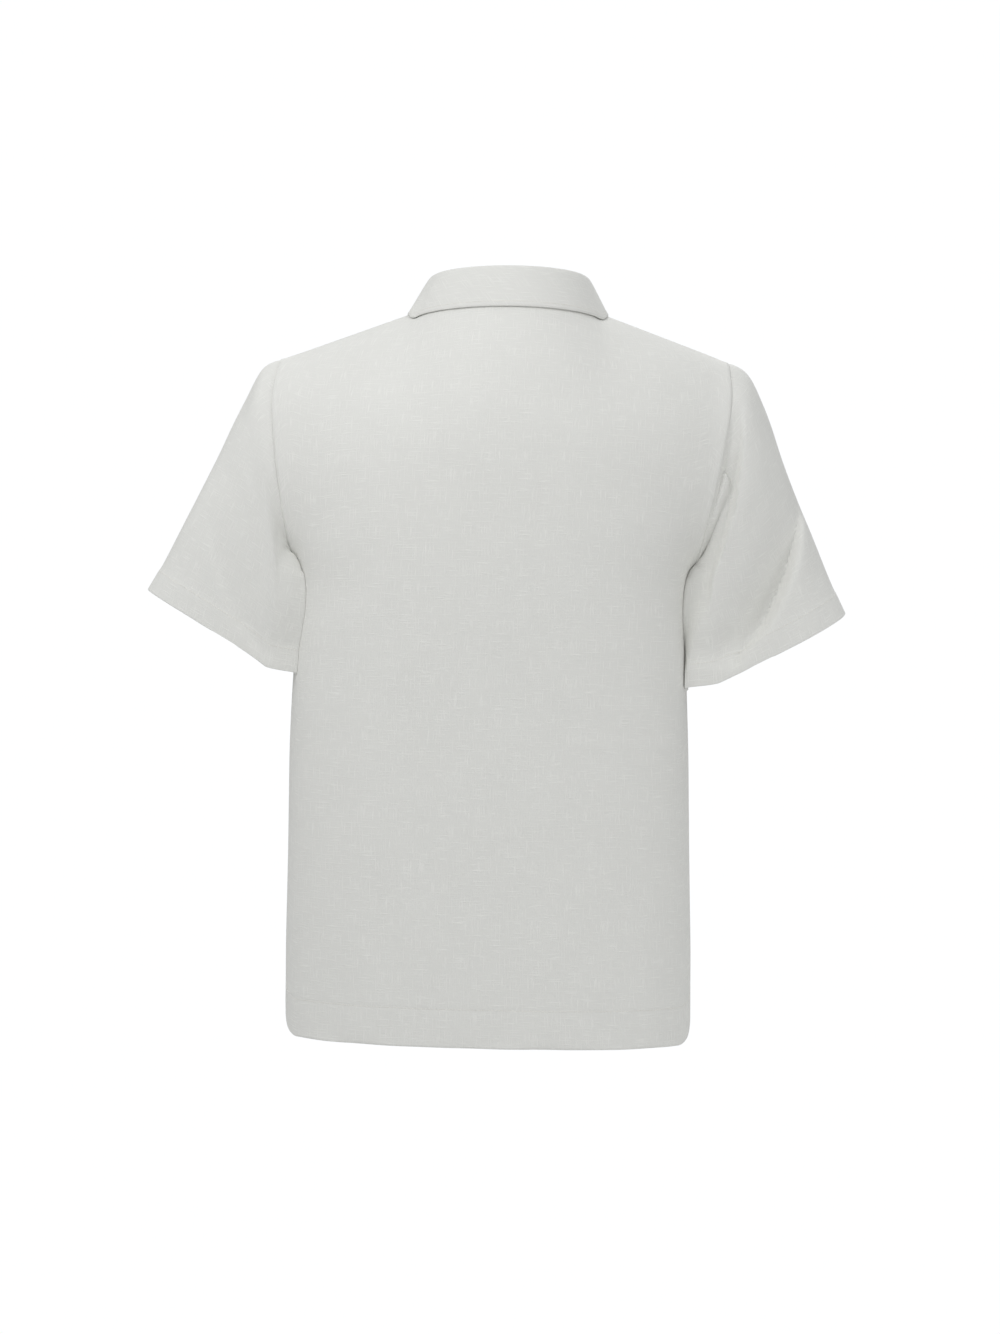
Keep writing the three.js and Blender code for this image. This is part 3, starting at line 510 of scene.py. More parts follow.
def section_row(edge, depth, centre_z, square_y, rise):
    """Points of a row at equal steps of its length, from the centre line to the side edge."""
    turn = np.linspace(0, math.pi / 2, SECTION_SAMPLES)
    share = np.sin(turn) ** (2 / BODY_SQUARE)
    x = edge[0] * share
    y = mix(edge[1], depth, np.maximum(0, np.cos(turn)) ** (2 / square_y))
    length = np.concatenate([[0], np.cumsum(np.hypot(np.diff(x), np.diff(y)))])
    at = np.linspace(0, length[-1], COLUMNS + 1)
    share_at = np.interp(at, length, share)
    near_seam = (1 + np.cos(math.pi * np.clip((length[-1] - at) / HEM_RISE_WIDTH, 0, 1))) / 2
    z = mix(centre_z, edge[2], share_at ** 2) + rise * near_seam
    return np.stack([np.interp(at, length, x), np.interp(at, length, y), z], axis=-1)


def body_row(name, height):
    width = float(from_table(BODY_HEIGHT, BODY_WIDTH, height))
    depth = PANELS[name]["side"] * float(from_table(BODY_HEIGHT, BODY_DEPTH[name], height))
    rise = HEM_RISE * (1 - ease((height - HEM_Z) / HEM_RISE_FADES))
    return section_row((width, 0, height), depth, height, BODY_SQUARE, rise)


def armhole_row(name, step):
    panel = PANELS[name]
    up = step / BLADE_STEP
    depth = mix(BODY_DEPTH[name][-1], panel["blade_depth"], ease(up))
    centre_z = mix(UNDERARM_Z, panel["blade_z"], up)
    square = mix(BODY_SQUARE, 1, ease(up))
    return section_row(armhole_point(panel, step), panel["side"] * depth, centre_z, square, 0)


def top_point(panel, share):
    """A point on the neckline or the shoulder seam, from the centre to the shoulder tip."""
    if share > NECK_SHARE:
        return mix(NECK_POINT, SHOULDER_TIP, (share - NECK_SHARE) / (1 - NECK_SHARE))
    turn = math.pi / 2 * share / NECK_SHARE
    cos = max(0, math.cos(turn))
    return np.array([NECK_POINT[0] * math.sin(turn), panel["side"] * panel["neck_depth"] * cos,
                     NECK_POINT[2] - panel["neck_drop"] * cos ** panel["neck_power"]])


def arrival(panel, share, length):
    """The way a column arrives at the top edge."""
    side = panel["side"]
    round_neck = np.array([-0.55, -0.6 * side, 0.4]) * length
    near_neck = mix(np.array(panel["arrive"]), round_neck, ease(share / NECK_SHARE))
    on_shoulder = np.array([0, -side, 0.15]) * length
    return mix(near_neck, on_shoulder, ease((share - NECK_SHARE) / 0.3))


def upper_rows(panel, before, blade):
    """Rows above the blade row, each column on its own curve up to the top edge."""
    count = ARMHOLE_STEPS - BLADE_STEP
    share = np.arange(COLUMNS + 1) / COLUMNS
    end = np.array([top_point(panel, s) for s in share])
    reach = np.linalg.norm(blade - end, axis=1)
    arrive = np.array([arrival(panel, s, r) for s, r in zip(share, reach)])
    leave = (blade - before) * count * BLADE_PULL
    rows = []
    for k in range(1, count + 1):
        row = hermite(blade, leave, end, arrive, k / count)
        miss = armhole_point(panel, BLADE_STEP + k) - row[-1]
        rows.append(row + miss * ease((share - 0.5) / 0.5)[:, None])
    return rows


def relax(half):
    """Evens out the upper half of a panel towards the mean of each point's neighbours."""
    first = len(ROW_HEIGHTS) - RELAX_FADES
    rows = np.arange(first, len(half) - 1)
    hold = RELAX_SHARE * ease((rows - first + 1) / RELAX_FADES)[:, None, None]
    for _ in range(RELAX_ROUNDS):
        old = half.copy()
        beside = np.concatenate([old[rows, 1:2] * MIRROR, old[rows, :-2]], axis=1)
        mean = (beside + old[rows, 1:] + old[rows - 1, :-1] + old[rows + 1, :-1]) / 4
        half[rows, :-1] = mix(old[rows, :-1], mean, hold)
    return half


def panel_grid(name):
    """A panel's fine grid of points, from the hem up."""
    panel = PANELS[name]
    half = [body_row(name, height) for height in ROW_HEIGHTS]
    half += [armhole_row(name, k) for k in range(1, BLADE_STEP + 1)]
    half += upper_rows(panel, half[-2], half[-1])
    half = relax(np.array(half))
    coarse = np.concatenate([half[:, :0:-1] * MIRROR, half], axis=1)
    coarse[..., 1] += panel["side"] * SEAM_GAP / 2
    steps = np.linalg.norm(np.diff(coarse, axis=0), axis=2).mean(axis=1)
    knots = np.concatenate([[0], np.cumsum(steps)])
    at = np.concatenate([HEM_ROWS, np.linspace(ROWS_FROM, knots[-1], ROWS_ABOVE)])
    if name == "front":
        slot = np.interp(SLOT_BOTTOM, coarse[:, COLUMNS, 2], knots)
        at[np.argmin(np.abs(at - slot))] = slot
    rows = refine(coarse, knots, at)
    columns = np.arange(2 * COLUMNS * FINE + 1) / FINE
    grid = refine(rows.transpose(1, 0, 2), np.arange(2 * COLUMNS + 1.0), columns)
    return grid.transpose(1, 0, 2)


def panel_threads(grid):
    """How far each point lies from the centre line and from the hem, along the cloth."""
    along_row = lengths_along(grid, 1)
    middle = grid.shape[1] // 2
    along_row -= along_row[:, middle:middle + 1]
    return along_row, lengths_along(grid, 0)


def panel_normals(name, grid):
    """Normals of a panel, square to Y along the seams where it meets the other panel."""
    normals = grid_normals(grid, -OUT[name])
    underarm = int(np.argmin(np.abs(grid[:, 0, 2] - UNDERARM_Z)))
    for column in (0, -1):
        normals[:underarm + 1, column, 1] = 0
    neck = NECK_COLUMNS * FINE
    middle = COLUMNS * FINE
    normals[-1, :middle - neck + 1, 1] = 0
    normals[-1, middle + neck:, 1] = 0
    return unit(normals)


def hem_relief(up, across, hem, seed, pucker):
    """A hem's outer face: a sewn-down line near its top and small puckers below it."""
    line = hem - HEM_LINE_IN
    groove = -0.28 * bell(up, line, 1.6)
    puckers = 0.22 * waves(across + 2.5 * waves(up, 30, seed + 1), 11, seed)
    fold = puckers * window(up, 4, line - 1, 10) * pucker
    above = 0.15 * waves(across, 14, seed + 2) * window(up, line + 1, line + 14, 6) * pucker
    return groove + fold + above


def back_relief(grid, across):
    """Soft folds and pressed-in creases of the back."""
    x = grid[..., 0]
    z = grid[..., 2]
    creases = sum(depth * bell(z, height, 2.6) * window(x, low, high, 26)
                  for height, low, high, depth in CREASES)
    side = window(np.abs(x), 120, 210, 60)
    drape = 1.1 * waves(across, 95, 31) * ease((-430 - z) / 240)
    drag = 0.5 * np.sin((z - UNDERARM_Z) / 14 + np.abs(x) / 26) * bell(z, -275, 55) * side
    return creases + drape + drag


def front_relief(grid, across):
    """Soft folds of the front."""
    x = grid[..., 0]
    z = grid[..., 2]
    side = window(np.abs(x), 105, 210, 70)
    drape = 1.8 * waves(across, 105, 47) * ease((-330 - z) / 300) * ease((np.abs(x) - 10) / 50)
    drag = 0.7 * np.sin((z - UNDERARM_Z) / 15 + np.abs(x) / 24) * bell(z, -270, 60) * side
    return drape + drag


RELIEF = {"back": back_relief, "front": front_relief}


def fit_slot(grid):
    """Moves the points beside the front's slot onto its edges, and gives its first row."""
    centre = grid.shape[1] // 2
    slot = int(np.argmin(np.abs(grid[:, centre, 2] - SLOT_BOTTOM)))
    for side in (-1, 1):
        column = centre + side * SLOT_COLUMN
        for row in grid[slot:]:
            near = row[centre - NEAR_CENTRE:centre + NEAR_CENTRE + 1]
            for axis in (1, 2):
                row[column, axis] = np.interp(side * SLOT_HALF, near[:, 0], near[:, axis])
            row[column, 0] = side * SLOT_HALF
    return slot


def panel_sheet(name):
    """A panel's outer face, with its normals and the distances along its threads."""
    sizes = bpy.context.scene.shirt_sizes
    grid = panel_grid(name)
    across, up = panel_threads(grid)
    seam = lengths_along(grid, 1)[:, -1:] / 2 - np.abs(across)
    relief = RELIEF[name](grid, across) * ease(seam / 40)
    relief += hem_relief(up, across, sizes.hem * 1000, PANELS[name]["seed"], sizes.pucker)
    # The seam allowance of the armhole lies inside the body and lifts its edge
    relief += 0.6 * bell(seam, 3, 3) * ease((grid[..., 2] - UNDERARM_Z) / 25)
    relief *= ease((up[-1:] - up) / 20) * ease(up / 3)
    grid = grid + panel_normals(name, grid) * relief[..., None]
    if name == "front":
        Shirt.slot_row = fit_slot(grid)
    return grid, panel_normals(name, grid), across, up


def add_panel(name):
    """One panel as a piece of the scene."""
    sizes = bpy.context.scene.shirt_sizes
    sheet = panel_sheet(name)
    rows, columns = sheet[0].shape[:2]
    middle = columns // 2

    def keep(row, column):
        in_slot = middle - SLOT_COLUMN <= column < middle + SLOT_COLUMN
        return name == "back" or not (in_slot and row >= Shirt.slot_row)

    faces = grid_faces(rows, columns, -OUT[name], keep=keep)
    thickness = hemmed(sizes.cloth * 1000, sizes.hem * 1000, sheet[3])
    add_cloth(name, sheet, faces, thickness)


def panels_tree():
    """The outer faces of both panels, for pieces that lie on them."""
    back, front = (Shirt.panels[name][0] for name in ("back", "front"))
    places = np.concatenate([back.reshape(-1, 3), front.reshape(-1, 3)])
    faces = grid_faces(*back.shape[:2], -OUT["back"])
    first = back.shape[0] * back.shape[1]
    for face in grid_faces(*front.shape[:2], -OUT["front"]):
        faces.append(tuple(i + first for i in face))
    return BVHTree.FromPolygons(places.tolist(), faces)


def lay_on(point, height, exactly):
    """Moves a point to a height over the panels: exactly, or only if it lies lower."""
    foot, normal, _, _ = Shirt.tree.find_nearest(Vector(point))
    over = (Vector(point) - foot).dot(normal)
    if exactly or over < height:
        return np.array(Vector(point) + normal * (height - over))
    return point


# Sleeves

def body_reach(points):
    """How far out the body reaches beside a point."""
    z = points[..., 2]
    y = points[..., 1]
    back = from_table(BODY_HEIGHT, BODY_DEPTH["back"], z)
    front = from_table(BODY_HEIGHT, BODY_DEPTH["front"], z)
    share = np.clip(np.abs(y) / np.where(y > 0, back, front), 0, 1)
    section = from_table(BODY_HEIGHT, BODY_WIDTH, z) * (1 - share ** BODY_SQUARE) ** (1 / BODY_SQUARE)
    return np.where(z >= UNDERARM_Z, from_table(ARMHOLE_HEIGHT, ARMHOLE_WIDTH, z), section)


def sleeve_section(sleeve, along, turn, facing):
    """Points of a sleeve on the +X side; turn is 0 on the top line and 180 on the bottom one."""
    late = along ** 2
    inward = sleeve["cap_in"] * ease(along / 0.3) * (1 - along)
    at = {key: from_table(SLEEVE_ALONG, values, along) for key, values in SLEEVE.items()}
    over_x = at["over_x"] - inward
    over_z = at["over_z"] - sleeve["tip_drop"] * late
    under_z = at["under_z"] - sleeve["under_drop"] * late
    cos = np.cos(np.radians(turn))
    power = 2 / np.where(turn > 90, sleeve["under_square"], sleeve["square"])
    up = (1 + np.sign(cos) * np.abs(cos) ** power) / 2
    out = np.maximum(0, np.sin(np.radians(turn))) ** power
    depth = at["depth"] * np.where(facing < 0, SLEEVE_FRONT, 1) * out
    z = mix(under_z, over_z, up) - sleeve["cuff_sag"] * late * out
    return np.stack([mix(at["under_x"], over_x, up), facing * depth, z], axis=-1)


def sink(sleeve, points):
    """How deep the groove and the trough sink the back of a sleeve."""
    z = points[..., 2]
    level = np.stack([0 * z, 0 * z, z], axis=-1)
    off = points[..., 0] - body_reach(level) - GROOVE_STARTS
    wall = (off - from_table(sleeve["groove_z"], sleeve["groove_width"], z)) / GROOVE_RISES + 1
    depth = from_table(sleeve["groove_z"], sleeve["groove_depth"], z)
    beside = depth * ease(off / GROOVE_FALLS) * (1 - ease(wall))
    across = points[..., 0] - from_table(sleeve["trough_z"], sleeve["trough_x"], z)
    share = across / np.where(across < 0, TROUGH_LONG, TROUGH_SHORT)
    deep = TROUGH_SHARE * from_table(sleeve["trough_z"], sleeve["trough_depth"], z)
    return (beside + deep * np.exp(-share * share)) * ease(points[..., 1] / SINK_FROM)


def sleeve_points(sleeve, along):
    """Points of a sleeve on the +X side, one lengthwise line for each column of along."""
    columns = along.shape[1]
    step = np.arange(columns) * 2 * ARMHOLE_STEPS / columns
    facing = np.where(step <= ARMHOLE_STEPS, 1, -1)
    fold = np.where(step <= ARMHOLE_STEPS, step, 2 * ARMHOLE_STEPS - step)
    turn = 180 * (1 - fold / ARMHOLE_STEPS)
    edge = np.where((facing > 0)[:, None], armhole_point(PANELS["back"], fold),
                    armhole_point(PANELS["front"], fold))
    miss = edge + [ARMHOLE_GAP, 0, 0] - sleeve_section(sleeve, np.zeros(columns), turn, facing)
    points = sleeve_section(sleeve, along, turn, facing)
    rise = sleeve["inner_rise"] * bell(turn, 180, 30) - sleeve["corner_drop"] * bell(turn, 125, 25)
    points[..., 2] += rise * along ** 2
    points = points + miss * (1 - ease(along / 0.5))[..., None]
    points[..., 1] -= np.where((facing > 0) & (along > 0), sink(sleeve, points), 0)
    nearest = body_reach(points) + mix(ARMHOLE_GAP, SLEEVE_CLEAR, ease(along / 0.1))
    hug = ease((turn - HUG_FROM) / HUG_TURNS) * ease(along / HUG_FADES)
    pushed = np.maximum(mix(points[..., 0], nearest, hug), nearest)
    points[..., 0] = np.where(along > 0, pushed, points[..., 0])
    # The sewn edge lies in under the edge of the body
    radial = edge * [0, 1, 1] - [0, 0, (UNDERARM_Z + SHOULDER_TIP[2]) / 2]
    lap = LAP - unit(radial) * LAP_DEPTH
    points = points + lap * (1 - ease(along / LAP_FADES))[..., None]
    return points, turn


def sleeve_rows(sleeve):
    """Where the fine rows lie along each line down a sleeve, and their distance from the cuff."""
    dense = np.linspace(0, 1, SLEEVE_SAMPLES)
    lines, _ = sleeve_points(sleeve, np.repeat(dense[:, None], SLEEVE_COLUMNS, axis=1))
    length = lengths_along(lines, 0)
    hem = np.array([np.interp(line[-1] - SLEEVE_HEM, line, dense) for line in length.T])
    along = np.concatenate([SLEEVE_ROWS[:, None] * hem, hem + SLEEVE_HEM_ROWS[:, None] * (1 - hem)])
    reached = [np.interp(places, dense, line) for places, line in zip(along.T, length.T)]
    return along, length[-1] - np.array(reached).T


def sleeve_relief(seed, up, around, along):
    """Soft folds of a sleeve."""
    pucker = bpy.context.scene.shirt_sizes.pucker
    relief = hem_relief(up, around, SLEEVE_HEM, seed, pucker)
    relief = relief + SLEEVE_HEM_STEP * ease((SLEEVE_HEM + 0.6 - up) / 1.6)
    head = 0.3 * waves(around, 17, seed + 5) * bell(along, 0.05, 0.05) * pucker
    soft = 0.6 * waves(around + 60 * along, 70, seed + 6) * ease(along / 0.3)
    return relief + (head + soft) * ease(along / 0.03)


def add_sleeve(name):
    """One sleeve, its inner side pressed against the body."""
    cloth = bpy.context.scene.shirt_sizes.cloth * 1000
    sleeve = SLEEVES[name]
    side = sleeve["side"]
    along, up = sleeve_rows(sleeve)
    points, turn = sleeve_points(sleeve, along)
    around = lengths_along(np.concatenate([points, points[:, :1]], axis=1), 1)
    girth = float(around[:, -1].mean())
    around = around[:, :-1] * girth / around[:, -1:]
    relief = sleeve_relief(sleeve["seed"], up, around, along)
    points = points + grid_normals(points, 1, closed=True) * relief[..., None]
    points *= [side, 1, 1]
    press = ease((turn - HUG_FROM) / HUG_TURNS) * ease(along / TOUCH_FADES)
    for r, c in np.argwhere((turn > 90) & (along > LAP_FADES)):
        clear = lay_on(points[r, c], TOUCH, False)
        pressed = lay_on(points[r, c], TOUCH, True)
        points[r, c] = mix(clear, pressed, press[r, c])
    sheet = (points, grid_normals(points, side, closed=True), around, up)
    faces = grid_faces(*points.shape[:2], side, closed=True)
    piece = add_cloth(name, sheet, faces, hemmed(cloth, SLEEVE_HEM, up),
                      girth=girth)
    piece.data.set_sharp_from_angle(angle=math.radians(FOLD_ANGLE))


# Collar

def neck_edge(turn):
    """Points on the necklines' own edges, at turns round the neck from the centre back."""
    edges = [Shirt.panels[name][0][-1, COLUMNS * FINE:] for name in ("back", "front")]
    quarter = np.minimum(turn, math.pi - turn)
    place = NECK_COLUMNS * FINE * quarter / (math.pi / 2)
    column = np.arange(len(edges[0]))
    found = [np.stack([np.interp(place, column, edge[:, k]) for k in range(3)], axis=-1)
             for edge in edges]
    return np.where((turn <= math.pi / 2)[:, None], found[0], found[1])


def stand_top(turn):
    cos = np.abs(np.cos(turn))
    back = turn <= math.pi / 2
    back_z = mix(STAND_SIDE_Z, STAND_BACK_Z, cos)
    front_z = STAND_SIDE_Z - STAND_FRONT_DROP * cos ** PANELS["front"]["neck_power"]
    z = np.where(back, back_z, front_z)
    y = np.where(back, STAND_DEPTH[0] * cos, -STAND_DEPTH[1] * cos)
    return np.stack([STAND_WIDTH * np.sin(turn), y, z], axis=-1)


def fall_edge(turn):
    """The free edge of the fall before it is laid on the panels."""
    cos = np.cos(turn)
    z = mix(FALL_SIDE[2], FALL_BACK_Z, cos * cos)
    back = np.stack([FALL_SIDE[0] * np.sin(turn), FALL_BACK * cos, z], axis=-1)
    t = np.clip(turn / (math.pi / 2) - 1, 0, 1)[:, None]
    front = (1 - t) ** 2 * FALL_SIDE + 2 * t * (1 - t) * FALL_CHEEK + t * t * FALL_POINT
    return np.where((turn <= math.pi / 2)[:, None], back, front)


def collar_grid(columns):
    """Both halves of a collar piece from the columns of its +X half, centre back first."""
    return np.concatenate([columns[:0:-1] * MIRROR, columns]).transpose(1, 0, 2)


def collar_turns():
    end = math.pi - math.asin(COLLAR_FRONT_GAP / STAND_WIDTH)
    return np.linspace(0, end, COLLAR_COLUMNS + 1)


def stand_grid():
    turn = collar_turns()
    top = stand_top(turn)
    bottom = neck_edge(turn)
    bottom = bottom + unit(top - bottom) * SEAM_GAP
    t = np.linspace(0, 1, STAND_ROWS)[None, :, None]
    columns = mix(bottom[:, None], top[:, None], t)
    columns[..., 2] -= STAND_SAG * (t * (1 - t))[..., 0]
    return collar_grid(columns)


def fall_grid():
    """The fall's under side: up from the stand, over the roll, down to the free edge."""
    turn = collar_turns()
    top = stand_top(turn)
    edges = fall_edge(turn)
    columns = []
    for k, angle in enumerate(turn):
        forward = min(1, max(0, angle / (math.pi / 2) - 1))
        start = top[k] + [0, 0, SEAM_GAP]
        edge = lay_on(edges[k], FALL_CLEAR, True)
        roll = top[k] + [0, 0, mix(*ROLL_RISE, forward)]
        crest = top[k] + [0, 0, mix(*CREST_RISE, forward)]
        pull = edge + unit(crest - edge) * mix(*EDGE_PULL, forward)
        column = []
        for t in FALL_ROWS:
            point = ((1 - t) ** 3 * start + 3 * t * (1 - t) ** 2 * roll
                     + 3 * t * t * (1 - t) * pull + t ** 3 * edge)
            column.append(lay_on(point, FALL_CLEAR, False) if t > FALL_LAID_FROM else point)
        columns.append(column)
    return collar_grid(np.array(columns))


def add_stand():
    grid = stand_grid()
    sheet = (grid, grid_normals(grid, -1), lengths_along(grid, 1), lengths_along(grid, 0))
    add_cloth("collar_stand", sheet, grid_faces(*grid.shape[:2], -1), COLLAR_CLOTH)


def add_fall():
    pucker = bpy.context.scene.shirt_sizes.pucker
    under = fall_grid()
    across = lengths_along(under, 1)
    down = lengths_along(under, 0)
    up = down[-1:] - down
    edge = np.minimum(up, np.minimum(across, across[:, -1:] - across))
    puckers = 0.12 * waves(across + up, 12, 83) * bell(edge, 4, 6) * pucker
    relief = -0.3 * bell(edge, COLLAR_LINE_IN, 1.3) + puckers
    grid = under + grid_normals(under, 1) * (COLLAR_CLOTH + relief)[..., None]
    sheet = (grid, grid_normals(grid, 1), across, up)
    add_cloth("collar_fall", sheet, grid_faces(*grid.shape[:2], 1), COLLAR_CLOTH + relief)


# Placket, buttons and stitches

def front_place(x, height):
    """The front's outer face at a distance from the centre line and a height on that line."""
    grid, normals, _, _ = Shirt.panels["front"]
    middle = grid.shape[1] // 2
    near = slice(middle - NEAR_CENTRE, middle + NEAR_CENTRE + 1)
    row = float(np.interp(height, grid[:, middle, 2], np.arange(len(grid))))
    low = min(len(grid) - 2, int(row))
    found = []
    for source in (grid, normals):
        pair = [np.array([np.interp(x, grid[r, near, 0], source[r, near, k]) for k in range(3)])
                for r in (low, low + 1)]
        found.append(mix(*pair, row - low))
    return found[0], unit(found[1])


def strip_grid(half, bottom, lift):
    """A strip up the centre front, lifted off the front's outer face."""
    grid = []
    for height in np.linspace(bottom, PLACKET_TOP, STRIP_ROWS):
        row = [front_place(x, height) for x in np.linspace(-half, half, STRIP_COLUMNS)]
        grid.append([point + normal * lift for point, normal in row])
    return np.array(grid)


def add_strip(name, grid, thickness, relief):
    """A strip of the placket, its outer face raised by its relief."""
    across = lengths_along(grid, 1)
    up = lengths_along(grid, 0)
    grid = grid + grid_normals(grid, 1) * relief(across, up)[..., None]
    sheet = (grid, grid_normals(grid, 1), across, up)
    add_cloth(name, sheet, grid_faces(*grid.shape[:2], 1), thickness)


def add_node(tree, kind, inputs=None, **settings):
    """Adds a node with its settings, each input fed from a value or another node's socket."""
    node = tree.nodes.new(kind)
    for key, value in settings.items():
        setattr(node, key, value)
    for key, value in (inputs or {}).items():
        if isinstance(value, bpy.types.NodeSocket):
            tree.links.new(value, node.inputs[key])
        else:
            node.inputs[key].default_value = value
    return node


def stitch_tree():
    """Geometry nodes that lay a row of thread stitches along every path they are given."""
    tree = bpy.data.node_groups.new("stitch_row", "GeometryNodeTree")
    face = tree.interface
    face.new_socket("Path", in_out="INPUT", socket_type="NodeSocketGeometry")
    for name, default in (("Stitch pitch", 0.0032), ("Stitch length", 0.0024), ("Thread", 0.0006)):
        socket = face.new_socket(name, in_out="INPUT", socket_type="NodeSocketFloat")
        socket.default_value = default
    face.new_socket("Across", in_out="INPUT", socket_type="NodeSocketBool")
    face.new_socket("Material", in_out="INPUT", socket_type="NodeSocketMaterial")
    face.new_socket("Stitches", in_out="OUTPUT", socket_type="NodeSocketGeometry")
    given = add_node(tree, "NodeGroupInput").outputs
    points = add_node(tree, "GeometryNodeCurveToPoints",
                      {"Curve": given["Path"], "Length": given["Stitch pitch"]}, mode="LENGTH")
    facing = add_node(tree, "ShaderNodeCombineXYZ", {"Y": -1.0})
    crosswise = add_node(tree, "ShaderNodeVectorMath",
                         {0: points.outputs["Tangent"], 1: facing.outputs[0]},
                         operation="CROSS_PRODUCT")
    way = add_node(tree, "GeometryNodeSwitch",
                   {"Switch": given["Across"], "False": points.outputs["Tangent"],
                    "True": crosswise.outputs[0]}, input_type="VECTOR")
    turn = add_node(tree, "FunctionNodeAlignRotationToVector",
                    {"Vector": way.outputs["Output"]}, axis="X")
    ball = add_node(tree, "GeometryNodeMeshUVSphere", {"Segments": 8, "Rings": 6, "Radius": 0.5})
    size = add_node(tree, "ShaderNodeCombineXYZ",
                    {"X": given["Stitch length"], "Y": given["Thread"], "Z": given["Thread"]})
    stitch = add_node(tree, "GeometryNodeTransform",
                      {"Geometry": ball.outputs["Mesh"], "Scale": size.outputs[0]})
    rows = add_node(tree, "GeometryNodeInstanceOnPoints",
                    {"Points": points.outputs["Points"], "Instance": stitch.outputs["Geometry"],
                     "Rotation": turn.outputs["Rotation"]})
    smooth = add_node(tree, "GeometryNodeSetShadeSmooth", {"Geometry": rows.outputs["Instances"]})
    real = add_node(tree, "GeometryNodeRealizeInstances", {"Geometry": smooth.outputs["Geometry"]})
    finish = add_node(tree, "GeometryNodeSetMaterial",
                      {"Geometry": real.outputs["Geometry"], "Material": given["Material"]})
    add_node(tree, "NodeGroupOutput", {"Stitches": finish.outputs["Geometry"]})
    return tree


def add_stitches(name, paths, pitch, length, across=False, leaning=True):
    """Rows of stitches along paths of points, as one plain mesh."""
    sizes = bpy.context.scene.shirt_sizes
    curve = bpy.data.curves.new(name, "CURVE")
    curve.dimensions = "3D"
    for path in paths:
        spline = curve.splines.new("POLY")
        spline.points.add(len(path) - 1)
        places = np.asarray(path)
        places = (lean(places) if leaning else places) / 1000
        spline.points.foreach_set("co", np.column_stack([places, np.ones(len(path))]).ravel())
    carrier = link(name, curve)
    tree = bpy.data.node_groups.get("stitch_row") or stitch_tree()
    modifier = carrier.modifiers.new("stitches", "NODES")
    modifier.node_group = tree
    values = {"Stitch pitch": pitch, "Stitch length": length, "Thread": sizes.thread,
              "Across": across, "Material": Shirt.materials["thread"]}
    for item in tree.interface.items_tree:
        if item.item_type == "SOCKET" and item.in_out == "INPUT" and item.name in values:
            modifier[item.identifier] = values[item.name]
    evaluated = carrier.evaluated_get(bpy.context.evaluated_depsgraph_get())
    mesh = bpy.data.meshes.new_from_object(evaluated)
    if not mesh.polygons:
        raise RuntimeError(f"{name} has no stitches")
    mesh.name = name
    carrier.modifiers.remove(modifier)
    bpy.data.objects.remove(carrier)
    bpy.data.curves.remove(curve)
    show(name, mesh, Shirt.materials["thread"])


def level_line(grid, normals, measure, level):
    """Points of a grid where a measure has a level, one in each column, just over the cloth."""
    path = []
    for c in range(grid.shape[1]):
        order = np.argsort(measure[:, c])
        row = np.interp(level, measure[order, c], order.astype(float))
        low = min(len(grid) - 2, int(row))
        point = mix(grid[low, c], grid[low + 1, c], row - low)
        path.append(point + unit(mix(normals[low, c], normals[low + 1, c], row - low)) * THREAD_LIFT)
    return np.array(path)


def line_at(name, height):
    """Points across a piece at one distance from its hem."""
    grid, normals, _, up = Shirt.panels[name]
    return level_line(grid, normals, up, height)


def line_beside(name, distance, from_end=False):
    """Points up a piece at one distance from its first or its last column."""
    grid, normals, across, _ = Shirt.panels[name]
    measure = across[:, -1:] - across if from_end else across
    return level_line(grid.transpose(1, 0, 2), normals.transpose(1, 0, 2), measure.T, distance)


def edge_paths(name, inset, reach):
    """A line along the bottom edge of a piece, and one up each side as far as reach."""
    _, _, across, up = Shirt.panels[name]
    from_side = np.minimum(across, across[:, -1:] - across)[0]
    rows = (up[:, 0] > inset) & (up[:, 0] < reach)
    return [line_at(name, inset)[from_side > inset], line_beside(name, inset)[rows],
            line_beside(name, inset, from_end=True)[rows]]


# Materials

def new_material(name, values):
    """A material with its shader's plain values set, its node tree and the shader's sockets."""
    material = bpy.data.materials.new(name)
    material.use_nodes = True
    tree = material.node_tree
    shader = tree.nodes["Principled BSDF"].inputs
    for key, value in values.items():
        shader[key].default_value = value
    return material, tree, shader


def add_math(tree, operation, *values):
    """One sum on values or sockets."""
    return add_node(tree, "ShaderNodeMath", dict(enumerate(values)), operation=operation).outputs[0]


def add_tone(tree, factor, low, high):
    """A colour between two others."""
    tone = add_node(tree, "ShaderNodeMix", {"Factor": factor, "A": low, "B": high}, data_type="RGBA")
    return tone.outputs["Result"]


def add_bump(tree, shader, strength, distance, height):
    """Raises the surface of a shader by a height."""
    bump = add_node(tree, "ShaderNodeBump",
                    {"Strength": strength, "Distance": distance, "Height": height})
    tree.links.new(bump.outputs[0], shader["Normal"])


def shade(colour, share):
    """A colour made lighter or darker, and opaque."""
    return [min(1, c * share) for c in colour] + [1]


def thread_pattern(tree, uv, width, length):
    """Uneven threads along one direction: noise drawn out along them, cut to its peaks."""
    mapping = add_node(tree, "ShaderNodeMapping", {"Vector": uv, "Scale": (1 / width, 1 / length, 1)})
    noise = add_node(tree, "ShaderNodeTexNoise",
                     {"Vector": mapping.outputs[0], "Scale": 1.0, "Detail": 1.0, "Roughness": 0.4})
    low, high = SLUB_CUT
    peak = add_node(tree, "ShaderNodeMapRange",
                    {"Value": noise.outputs["Fac"], "From Min": low, "From Max": high})
    return peak.outputs[0]


